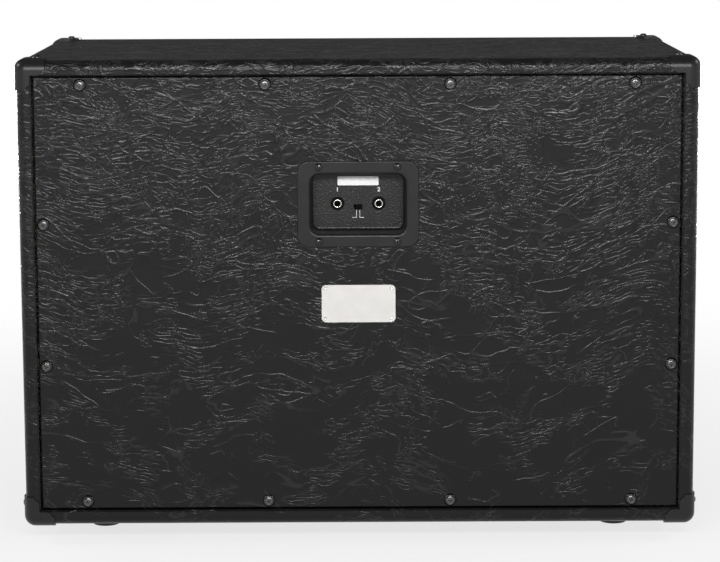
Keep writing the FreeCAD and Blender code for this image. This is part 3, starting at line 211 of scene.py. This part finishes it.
class Finish(Graph):
    """A procedural material round one Principled shader."""

    def __init__(self, name, **constants):
        self.material = bpy.data.materials.new(name)
        super().__init__(self.material)
        self.shader = self.tree.nodes["Principled BSDF"]
        self.place = self.node("ShaderNodeTexCoord", {}, {}, "Object")
        for socket, value in constants.items():
            self.shader.inputs[socket.replace("_", " ")].default_value = value

    def vary(self, **fields):
        """Links what changes over the surface to the shader and returns the finished material."""
        for socket, field in fields.items():
            self.join(field, self.shader.name, socket.replace("_", " "))
        return self.material

    def bump(self, height, depth, strength=1.0):
        """The normal of a surface raised by depth where the height is one."""
        values = {"Height": height, "Distance": depth, "Strength": strength}
        return self.node("ShaderNodeBump", {}, values)

    def tinted(self, dark, light, period):
        """A colour that wanders between two near shades."""
        cloud = self.noise(self.place, period, detail=3.0).fade(CLOUD_LOW, CLOUD_HIGH)
        return self.blend(cloud, dark, light)


def shade(red, green=None, blue=None):
    """A colour socket's value, grey if only one number is given."""
    return (red, red if green is None else green, red if blue is None else blue, 1.0)


def grained_vinyl():
    """Black vinyl embossed with wavy, mostly level creases, in bundles with smooth patches between, with
    a painted highlight on the crease tops.
    """
    vinyl = Finish("grained_vinyl", Specular_IOR_Level=0.23)
    valley = shade(0.004, 0.004, 0.0046)
    # Painted highlight: the crease tops are coloured lighter than the black valleys.
    crest_highlight = shade(0.016, 0.016, 0.0165)
    smooth, rough = 0.31, 0.37
    highlight_starts = 0.5
    crest_polish = 0.15
    emboss_depth = 0.00042
    fine_share, long_share, pebble_share = 0.55, 0.8, 0.14

    # The cloth is turned on the two sides, so that its length goes round the cabinet.
    side_facing = 0.7
    on_sides = abs(vinyl.node("ShaderNodeNewGeometry", {}, {}, "Normal").axis(0)) > side_facing
    x, y, z = (vinyl.place.axis(number) for number in range(3))
    turned = vinyl.node("ShaderNodeCombineXYZ", {}, {0: y, 1: x, 2: z})
    choice = {0: on_sides, 4: vinyl.place, 5: turned}
    cloth = vinyl.node("ShaderNodeMix", {"data_type": "VECTOR"}, choice, 1)

    # The creases climb and curl, and low on the cabinet they are fewer.
    climb, curl = 0.06, 0.009
    wavy = cloth + vinyl.wander(cloth, (0.1, 0.3, 0.3)) * (0.0, climb, climb)
    wavy = wavy + vinyl.wander(cloth, (0.024, 0.03, 0.03), detail=1.0) * (0.0, curl, curl)
    calm_height, busy_height, calming = 0.1, 0.42, 0.11
    calm = z.fade(calm_height, busy_height, calming, 0.0)
    bundle = (0.07, 0.03, 0.03)
    between_bundles = 0.05
    stretch = 6

    def creases(slope, seed, spacing, width, start, full):
        """Ridges that fall by the slope, in bundles that start and are full at two levels of a cloud."""
        lean = cloth.axis(0) * slope
        leaning = wavy + vinyl.node("ShaderNodeCombineXYZ", {}, {0: seed, 1: lean, 2: lean})
        cloud = vinyl.noise(leaning, bundle, detail=1.0) - calm
        ripples = vinyl.noise(leaning, (stretch * spacing, spacing, spacing), detail=0.5)
        return ripples.ridge(width) * cloud.fade(start, full, between_bundles, 1.0)

    def crossed(slope, seeds, **crease):
        """Two sets of creases, one that falls by the slope and one that climbs by it."""
        falling, climbing = seeds
        return creases(slope, falling, **crease).either(creases(-slope, climbing, **crease))

    fine = creases(slope=0.0, seed=0.0, spacing=0.0042, width=0.11, start=0.35, full=0.47)
    crossing = crossed(slope=0.7, seeds=(3.1, 7.7), spacing=0.0046, width=0.11, start=0.53, full=0.6)
    fine = fine.either(crossing)
    long = creases(slope=0.0, seed=5.3, spacing=0.019, width=0.036, start=0.4, full=0.5)
    branching = crossed(slope=0.5, seeds=(11.9, 17.3), spacing=0.019, width=0.034, start=0.46, full=0.53)
    long = long.either(branching)
    pebble = vinyl.noise(cloth, (0.0032, 0.0016, 0.0016), detail=2.0)
    raised = fine.either(long)
    height = fine * fine_share + long * long_share + pebble * pebble_share
    wear = vinyl.noise(cloth, (0.05, 0.03, 0.03), detail=3.0).spread(smooth, rough)
    return vinyl.vary(
        # Painted highlight: the raised creases take the lighter crest colour.
        Base_Color=vinyl.blend(raised.fade(highlight_starts, 1.0), valley, crest_highlight),
        Roughness=wear - raised * crest_polish,
        Normal=vinyl.bump(height, emboss_depth),
    )


def moulded_black(name, floor=None):
    """Satin black moulding with a fine spark-eroded texture, coarser on a dish's floor at a Y level."""
    plastic = Finish(name, Specular_IOR_Level=0.31)
    dark = shade(0.0075, 0.0068, 0.0066)
    light = shade(0.0105, 0.0097, 0.0095)
    smooth, rough = 0.28, 0.38
    cloud, stipple, pit = 0.03, 0.0009, 0.0015
    pits_full, pits_end, pits_share = 0.0005, 0.002, 11.0
    depth, strength = 0.00006, 0.6
    relief = texture = plastic.noise(plastic.place, stipple, detail=1.0)
    if floor is not None:
        near_floor = plastic.place.axis(1).fade(floor + pits_full, floor + pits_end, pits_share, 0.0)
        relief = texture + plastic.noise(plastic.place, pit, detail=1.0) * near_floor
    return plastic.vary(
        Base_Color=plastic.tinted(dark, light, cloud),
        Roughness=texture.spread(smooth, rough),
        Normal=plastic.bump(relief, depth, strength),
    )


def plated(name, dark, light, smooth, rough):
    """Metal with faint turning marks and stains."""
    metal = Finish(name, Metallic=1.0)
    mark = 0.0007
    marks = metal.noise(metal.place, mark, detail=2.0)
    colour = metal.blend(marks.spread(), dark, light)
    return metal.vary(Base_Color=colour, Roughness=marks.spread(smooth, rough))


def painted(name, dark, light, smooth, rough, gloss=0.5):
    """A dull finish with a little mottle and grain."""
    paint = Finish(name, Specular_IOR_Level=gloss)
    mottle, grain = 0.0144, 0.0012
    depth, strength = 0.0001, 0.5
    grains = paint.noise(paint.place, grain, detail=2.0)
    return paint.vary(
        Base_Color=paint.tinted(dark, light, mottle),
        Roughness=grains.spread(smooth, rough),
        Normal=paint.bump(grains, depth, strength),
    )


def woven():
    """Black speaker cloth: threads that pass over and under each other."""
    cloth = Finish("grille_weave", Specular_IOR_Level=0.2)
    gap = shade(0.008)
    fibres = shade(0.07, 0.07, 0.072)
    smooth, rough = 0.65, 0.85
    thread, slub, through = 0.0022, 0.05, 1.0
    fibre = depth = thread / 4
    thin_share, fuzz_share = 0.3, 0.3
    across, up = (cloth.place.axis(number).wave(2 * thread) for number in (0, 2))
    over = across * up > 0.0
    crown = abs(across) * over + abs(up) * (1.0 - over)
    fuzz = cloth.noise(cloth.place, fibre, detail=2.0)
    along_x = cloth.noise(cloth.place, (slub, through, thread))
    along_z = cloth.noise(cloth.place, (thread, through, slub))
    slubs = along_x * over + along_z * (1.0 - over)
    return cloth.vary(
        Base_Color=cloth.blend(crown * slubs.spread(thin_share, 1.0), gap, fibres),
        Roughness=fuzz.spread(smooth, rough),
        Normal=cloth.bump(crown + fuzz * fuzz_share, depth),
    )


def plywood():
    """Birch plywood: long figure across the width, thin plies through the thickness."""
    wood = Finish("plywood")
    late_wood = shade(0.42, 0.27, 0.14)
    early_wood = shade(0.6, 0.43, 0.25)
    smooth, rougher = 0.5, 0.15
    depth, strength = 0.0002, 0.5
    grain = (0.12, 0.004, 0.012)
    figure = wood.noise(wood.place, grain, detail=4.0, rough=0.6).fade(CLOUD_LOW, CLOUD_HIGH)
    return wood.vary(
        Base_Color=wood.blend(figure, late_wood, early_wood),
        Roughness=figure * rougher + smooth,
        Normal=wood.bump(figure, depth, strength),
    )


# Each metal and each dull finish: a dark and a light shade, and the least and the most roughness.
METALS = {
    "black_steel": (shade(0.042), shade(0.065), 0.2, 0.3),
    "dark_steel": (shade(0.08), shade(0.14), 0.2, 0.32),
    "bright_nickel": (shade(0.7, 0.68, 0.63), shade(0.82, 0.8, 0.76), 0.1, 0.2),
    "zinc_steel": (shade(0.5, 0.5, 0.48), shade(0.62, 0.61, 0.58), 0.25, 0.4),
    "coil_wire": (shade(0.55, 0.25, 0.12), shade(0.7, 0.35, 0.18), 0.25, 0.35),
    "copper_braid": (shade(0.6, 0.32, 0.18), shade(0.75, 0.45, 0.28), 0.3, 0.45),
}
DULL_FINISHES = {
    "pale_plate": (shade(0.6, 0.585, 0.565), shade(0.63, 0.615, 0.595), 0.4, 0.5),
    "black_rubber": (shade(0.014), shade(0.022), 0.6, 0.75),
    "basket_paint": (shade(0.03), shade(0.045), 0.35, 0.5),
    "ferrite": (shade(0.05, 0.05, 0.055), shade(0.08, 0.08, 0.085), 0.5, 0.65),
    "cone_paper": (shade(0.022, 0.021, 0.02), shade(0.04, 0.037, 0.034), 0.75, 0.9),
    "doped_cloth": (shade(0.02), shade(0.034), 0.45, 0.6),
}
FINISHES = {
    "plywood": plywood(),
    "grained_vinyl": grained_vinyl(),
    "black_moulding": moulded_black("black_moulding"),
    "grille_weave": woven(),
}
FINISHES.update((name, plated(name, *row)) for name, row in METALS.items())
FINISHES.update((name, painted(name, *row)) for name, row in DULL_FINISHES.items())
DULL_BLACK = painted("dull_black", shade(0.003), shade(0.0045), 0.5, 0.6, gloss=0.04)
WHITE_PRINT = painted("white_print", shade(0.72), shade(0.76), 0.5, 0.6)


def face_middle(node, face):
    """The middle of a CAD node's box, at its rear face for max or its front face for min."""
    low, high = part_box(node)
    return Vector(((low.x + high.x) / 2, face(low.y, high.y), (low.z + high.z) / 2))


# Places in the jack dish, read from the CAD part. The nuts sit on its floor.
NUT_RADIUS = 0.0071
JACK_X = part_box("jack_nuts")[1].x - NUT_RADIUS
JACK_Z = face_middle("jack_nuts", min).z
DISH_FLOOR = face_middle("jack_nuts", min).y
DISH_MIDDLE = face_middle("jack_dish", min).z
KNOB = face_middle("switch_slider", max)


def dress_solids():
    """Gives every CAD node its finish."""
    for node, obj in frame["nodes"].items():
        obj.data.materials.clear()
        obj.data.materials.append(FINISHES[SLOT_OF[node]])
    frame["nodes"]["jack_dish"].data.materials[0] = moulded_black("dish_moulding", DISH_FLOOR)
    for node in ("switch_body", "switch_slider"):
        frame["nodes"][node].data.materials[0] = DULL_BLACK


def attach(obj, finish, slot, body):
    """Hands a new piece to the part: its finish and the body that it moves with. The slot argument is not
    used.
    """
    obj.data.materials.append(finish)
    bpy.context.scene.collection.objects.link(obj)
    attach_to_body(obj, body)
    return obj


class Shape:
    """A mesh in the making: stacks of rings with as many points each, joined by quads."""

    def __init__(self):
        self.made = bmesh.new()

    def stack(self, place, rings, shut=(True, True), loop=False):
        """Adds one stack. Each end may be shut, and a loop joins the last ring to the first."""
        rows = [[self.made.verts.new(place @ Vector(point)) for point in ring] for ring in rings]
        for below, above in zip(rows, rows[1:] + rows[:1] if loop else rows[1:]):
            for corners in zip(below, below[1:] + below[:1], above[1:] + above[:1], above):
                self.made.faces.new(corners)
        for row, closed in zip((rows[0], rows[-1]), shut):
            if closed and not loop:
                self.made.faces.new(row)

    def piece(self, name, slot, finish=None, body=CABINET):
        """Turns the mesh into a piece, with its slot's own finish if no other is given."""
        bmesh.ops.recalc_face_normals(self.made, faces=self.made.faces)
        mesh = bpy.data.meshes.new(name)
        self.made.to_mesh(mesh)
        self.made.free()
        mesh.shade_smooth()
        mesh.set_sharp_from_angle(angle=SHARP)
        return attach(bpy.data.objects.new(name, mesh), finish or FINISHES[slot], slot, body)

    def replacement(self, node, finish=None):
        """The piece that is shown in place of a CAD node."""
        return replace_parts(self.piece(f"{node}_detail", SLOT_OF[node], finish), node)


def circle(radius, level, flute=0.0):
    """A ring of points about the Z axis, with every other pair of points set in by the flute."""
    points = []
    for k in range(CIRCLE_POINTS):
        reach, turn = radius - flute * (k // 2 % 2), 2 * math.pi * k / CIRCLE_POINTS
        points.append((reach * math.cos(turn), reach * math.sin(turn), level))
    return points


def rounded_ring(width, height, corner, level):
    """A ring of points round a rectangle with rounded corners."""
    points = []
    for quarter, (x, y) in enumerate(((1, 1), (-1, 1), (-1, -1), (1, -1))):
        middle = Vector((x * (width / 2 - corner), y * (height / 2 - corner), level))
        for k in range(CORNER_STEPS + 1):
            turn = math.pi / 2 * (quarter + k / CORNER_STEPS)
            points.append(middle + Vector((corner * math.cos(turn), corner * math.sin(turn), 0.0)))
    return points


def cross_ring(arm, half):
    """Points round a cross with arms of a length and half a width."""
    elbow = (arm + half) / 2
    quarter = [(arm, 0), (arm, half), (elbow, half), (half, half), (half, elbow), (half, arm)]
    points = []
    for _ in range(4):
        points += quarter
        quarter = [(-y, x) for x, y in quarter]
    return points


def solid_boxes(node):
    """The lowest and the highest corner of each solid of a CAD node."""
    bm = bmesh.new()
    bm.from_mesh(frame["nodes"][node].data)
    bmesh.ops.remove_doubles(bm, verts=bm.verts, dist=WELD)
    left, boxes = set(bm.verts), []
    while left:
        found = [left.pop()]
        for vert in found:
            joined = {edge.other_vert(vert) for edge in vert.link_edges} & left
            left -= joined
            found.extend(joined)
        boxes.append([tuple(end(vert.co[k] for vert in found) for k in range(3)) for end in (min, max)])
    bm.free()
    return sorted(boxes)


def stands(node, pick):
    """For each solid of a CAD node, a frame at its outer end with Z out of the cabinet, and its length.

    The solid stands along its longest side if pick is max, or its shortest if pick is min.
    """
    for corners in solid_boxes(node):
        low, high = (Vector(corner) for corner in corners)
        size, middle = high - low, (low + high) / 2
        along = pick(range(3), key=lambda k: size[k])
        out = Vector((0.0, 0.0, 0.0))
        out[along] = math.copysign(1.0, middle[along] - MIDDLE[along])
        turn = out.to_track_quat("Z", "Y").to_matrix().to_4x4()
        yield Matrix.Translation(middle + out * size[along] / 2) @ turn, size[along]


def cross_head_screws(node, radius, crown, flank, neck):
    """Screws whose domed head has a crown and a flank, over a neck that tapers to the shank."""
    shank, tip_share, point_share = 0.002, 0.3, 1.2
    arm_share, half_share, recess_share, floor_share = 0.56, 0.13, 0.5, 0.55
    crown_shares, crown_power = (0.96, 0.88, 0.78, 0.66), 4
    most_turn, turn_step = 0.4, 2.4
    slot = cross_ring(arm_share * radius, half_share * radius)
    seat = -crown - flank

    def ring(reach, level):
        return [(reach * x / math.hypot(x, y), reach * y / math.hypot(x, y), level) for x, y in slot]

    def dome(reach):
        return -crown * (reach / radius) ** crown_power

    head = [ring(radius, seat), ring(radius, -crown)]
    head += [ring(share * radius, dome(share * radius)) for share in crown_shares]
    head.append([(x, y, dome(math.hypot(x, y))) for x, y in slot])
    head.append([(floor_share * x, floor_share * y, -recess_share * radius) for x, y in slot])
    shape = Shape()
    for count, (place, length) in enumerate(stands(node, max)):
        stem = [ring(tip_share * shank, -length), ring(shank, point_share * shank - length)]
        stem.append(ring(shank, seat - neck))
        turn = Matrix.Rotation(most_turn * math.sin(turn_step * count), 4, "Z")
        shape.stack(place @ turn, stem + head)
    shape.replacement(node)


def screws():
    """Oval heads in the cup washers of the rear panel, and pan heads on the fittings."""
    cross_head_screws("rear_panel_screws", radius=0.00405, crown=0.0007, flank=0.00015, neck=0.002)
    for node in ("jack_dish_screws", "corner_screws", "handle_screws", "foot_screws"):
        cross_head_screws(node, radius=0.004, crown=0.0017, flank=0.0009, neck=0.0)


def turned_rings(node, pick, profile, flute=0.0, finish=None):
    """Turned rings in place of a CAD node's solids, from radii and depths below the outer end.

    The flute is cut where the profile is widest.
    """
    widest = max(radius for radius, _ in profile)
    rings = [circle(radius, -depth, flute if radius == widest else 0.0) for radius, depth in profile]
    shape = Shape()
    for place, _ in stands(node, pick):
        shape.stack(place, rings, loop=True)
    shape.replacement(node, finish)


def cup_washers():
    """Finishing washers with a round shoulder, and a seat that slopes in to the screw."""
    bore, outer, height, seat = 0.0021, 0.00675, 0.0022, 0.002
    shoulder = [(0.0066, 0.0018), (0.0059, 0.0009), (0.0054, 0.0003), (0.0051, 0.00005)]
    top = [(0.0048, 0.0), (0.0044, 0.0), (0.0041, 0.0002)]
    turned_rings("cup_washers", min, [(bore, height), (outer, height), *shoulder, *top, (bore, seat)])


def jack_fronts():
    """Fluted black nuts, and bright ferrules with a round lip."""
    bore, height, bevel, flute = 0.0047, 0.0026, 0.0005, 0.0003
    side = [(NUT_RADIUS, height), (NUT_RADIUS, bevel)]
    top = [(0.0066, 0.0), (0.005, 0.0), (bore, 0.0003)]
    turned_rings("jack_nuts", min, [(bore, height), *side, *top], flute, DULL_BLACK)

    outer, inner, length, lip = 0.0046, 0.0032, 0.0125, 0.0009
    outer_lip = [(outer, lip), (0.0045, 0.0004), (0.00425, 0.0001)]
    inner_lip = [(0.0039, 0.0), (0.00355, 0.0001), (0.0033, 0.0004), (inner, lip)]
    turned_rings("jack_ferrules", max, [(outer, length), *outer_lip, *inner_lip, (inner, length)])


def dish_label(floor):
    """The bare label over the jacks."""
    width, height, corner, thickness, rise = 0.0435, 0.0095, 0.0008, 0.00016, 0.0219
    rings = [rounded_ring(width, height, corner, level) for level in (0.0, thickness)]
    label = Shape()
    label.stack(floor @ Matrix.Translation((0.0, rise, 0.0)), rings)
    label.piece("dish_label", "pale_plate", WHITE_PRINT)


def switch_lines(floor):
    """The printed lines that lead from the switch to its two sides."""
    line, near, reach, thickness = 0.0005, 0.0015, 0.0066, 0.00006
    far, top, low = near + line, -0.0095, -0.0175
    outline = [(near, top), (far, top), (far, low + line), (reach, low + line), (reach, low), (near, low)]
    lines = Shape()
    for side in (-1, 1):
        lines.stack(floor, [[(side * x, y, level) for x, y in outline] for level in (0.0, thickness)])
    lines.piece("switch_lines", "pale_plate", WHITE_PRINT)


def jack_numbers():
    """The numbers over the two jacks."""
    size, boldness, thickness, rise = 0.0062, 0.00008, 0.00004, 0.0127
    for number, x in (("1", JACK_X), ("2", -JACK_X)):
        text = bpy.data.curves.new(f"jack_number_{number}", "FONT")
        text.body = number
        text.size = size
        text.offset = boldness
        text.extrude = thickness
        text.align_x = "CENTER"
        obj = attach(bpy.data.objects.new(text.name, text), WHITE_PRINT, "pale_plate", CABINET)
        obj.matrix_world = Matrix.Translation((x, DISH_FLOOR, JACK_Z + rise)) @ FACING_REAR


def switch_ribs():
    """Three finger ribs on the slide switch, which move with it."""
    pitch, half_width, rise, half_length, steps = 0.0014, 0.00042, 0.0005, 0.0021, 8
    turns = [math.pi * k / steps for k in range(steps + 1)]
    arch = [(half_width * math.cos(turn), rise * math.sin(turn)) for turn in turns]
    rings = [[(across, end, out) for across, out in arch] for end in (-half_length, half_length)]
    ribs = Shape()
    for x in (-pitch, 0.0, pitch):
        ribs.stack(Matrix.Translation(KNOB + Vector((x, 0.0, 0.0))) @ FACING_REAR, rings)
    ribs.piece("switch_ribs", "black_moulding", DULL_BLACK, "switch_slider")


def grille_cloth():
    """Speaker cloth stretched over the front of its frame and turned in round the edges."""
    low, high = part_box("grille_cloth")
    width, depth, height = high - low
    bend, bend_steps, thickness = 0.0025, 5, 0.0007
    dip, dip_insets = 0.0003, (0.07, 0.2)

    def ring(inset, level):
        return rounded_ring(width - inset, height - inset, bend, level)

    rings = [ring(0.0, 0.0)]
    for k in range(bend_steps + 1):
        turn = math.pi / 2 * k / bend_steps
        rings.append(ring(2 * bend * (1 - math.cos(turn)), depth - bend * (1 - math.sin(turn))))
    rings += [ring(inset, depth - dip) for inset in dip_insets]
    shape = Shape()
    back = Matrix.Translation(face_middle("grille_cloth", max))
    shape.stack(back @ FACING_FRONT, rings, shut=(False, True))
    cloth = shape.replacement("grille_cloth")
    skin = cloth.modifiers.new("thickness", "SOLIDIFY")
    skin.thickness = thickness


def moving_suspension():
    """Copies of the surrounds, spiders and leads between the basket and the cone, shown in place of their
    CAD nodes.
    """
    for joint in frame["record"]["behaviour"]["joints"]:
        for row in joint.get("deforming_nodes", ()):
            node, held = row["node"], row["fixed_end_y_m"]
            low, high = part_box(node)
            carried = max(low.y, high.y, key=lambda level: abs(level - held))
            obj = bpy.data.objects.new(f"{node}_flexing", frame["nodes"][node].data.copy())
            bpy.context.scene.collection.objects.link(obj)
            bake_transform(obj)
            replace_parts(obj, node)


def detailed_pieces():
    """Everything that is shown beside the CAD nodes, or in place of them."""
    screws()
    cup_washers()
    jack_fronts()
    dish_floor = Matrix.Translation((0.0, DISH_FLOOR, DISH_MIDDLE)) @ FACING_REAR
    dish_label(dish_floor)
    switch_lines(dish_floor)
    jack_numbers()
    switch_ribs()
    grille_cloth()
    moving_suspension()


def seen_rays(graph):
    """One for the rays that show a background: to the camera, and to it by way of gloss or glass."""
    kinds = ("Is Camera Ray", "Is Glossy Ray", "Is Transmission Ray")
    to_camera, by_gloss, by_glass = (graph.node("ShaderNodeLightPath", {}, {}, kind) for kind in kinds)
    return to_camera.either(by_gloss).either(by_glass)


def studio_room():
    """Dim light, less from the far end, and a white horizon at the near end for rays that show it."""
    world = bpy.data.worlds.new("studio")
    bpy.context.scene.world = world
    room = Graph(world)
    far_end, near_end, horizon_full, horizon_top = -0.8, -0.3, 0.12, 0.4
    far_light, near_light, white = shade(0.1), shade(0.2), shade(1.0)
    towards = room.node("ShaderNodeTexCoord", {}, {}, "Generated")
    near = towards.axis(1).fade(far_end, near_end)
    horizon = seen_rays(room) * near * towards.axis(2).fade(horizon_full, horizon_top, 1.0, 0.0)
    colour = room.blend(horizon, room.blend(near, far_light, near_light), white)
    room.join(colour, "Background", "Color")


def studio_floor():
    """A pale floor that shows as white, less so near the cabinet, where it keeps the shadow."""
    radius, sides = 18.0, 96
    shadow_reach, white_reach, shadow_white = 0.5, 1.6, 0.75
    bm = bmesh.new()
    bmesh.ops.create_circle(bm, cap_ends=True, segments=sides, radius=radius)
    mesh = bpy.data.meshes.new("studio_floor")
    bm.to_mesh(mesh)
    bm.free()
    floor = bpy.data.objects.new("studio_floor", mesh)
    bpy.context.scene.collection.objects.link(floor)
    pale = Finish("studio_floor", Base_Color=shade(0.7), Roughness=0.9, Specular_IOR_Level=0.0)
    away = pale.node("ShaderNodeVectorMath", {"operation": "LENGTH"}, {0: pale.place}, 1)
    white = pale.node("ShaderNodeEmission", {}, {"Color": shade(1.0), "Strength": 1.0})
    share = seen_rays(pale) * away.fade(shadow_reach, white_reach, shadow_white, 1.0)
    lit = Field(pale, pale.shader.outputs[0])
    surface = pale.node("ShaderNodeMixShader", {}, {0: share, 1: lit, 2: white})
    pale.join(surface, "Material Output", "Surface")
    mesh.materials.append(pale.material)


def lamp(name, place, aim, size, power):
    """A soft rectangular lamp, aimed at a point and not seen itself. Its power is in watts."""
    data = bpy.data.lights.new(name, "AREA")
    data.shape = "RECTANGLE"
    data.size, data.size_y = size
    data.energy = power
    obj = bpy.data.objects.new(name, data)
    obj.location = place
    obj.rotation_euler = (Vector(aim) - Vector(place)).to_track_quat("-Z", "Y").to_euler()
    obj.visible_camera = False
    bpy.context.scene.collection.objects.link(obj)


def studio():
    """A pale room with soft lamps before the rear and the front, and high up beside both ends."""
    bpy.context.scene.view_settings.view_transform = "Standard"
    studio_room()
    studio_floor()
    strip = (0.9, 0.24)
    ends = (("right", 1), ("left", -1))
    lamp("rear_lamp", place=(0.0, 1.75, 1.0), aim=(0.0, 0.17, 0.35), size=(1.5, 0.25), power=31.0)
    for end, way in ends:
        front = Vector((1.5 * way, -2.3, 0.36))
        lamp(f"front_{end}_lamp", place=front, aim=(0.0, 0.0, 0.3), size=strip, power=40.0)
    for end, way in ends:
        beside = Vector((2.2 * way, 0.0, 1.7))
        lamp(f"{end}_lamp", place=beside, aim=(0.3 * way, 0.0, 0.3), size=strip, power=15.0)


def camera():
    """A camera behind the cabinet, a little above it."""
    data = bpy.data.cameras.new("rear_camera")
    data.lens = CAMERA_LENS
    data.shift_y = CAMERA_SHIFT
    data.clip_end = CAMERA_REACH
    obj = bpy.data.objects.new("rear_camera", data)
    level = Matrix.Rotation(math.pi, 4, "Z") @ Matrix.Rotation(math.pi / 2 - CAMERA_PITCH, 4, "X")
    obj.matrix_world = Matrix.Translation(CAMERA_PLACE) @ level @ Matrix.Rotation(CAMERA_ROLL, 4, "Z")
    bpy.context.scene.collection.objects.link(obj)
    bpy.context.scene.camera = obj


camera()
dress_solids()
detailed_pieces()
studio()
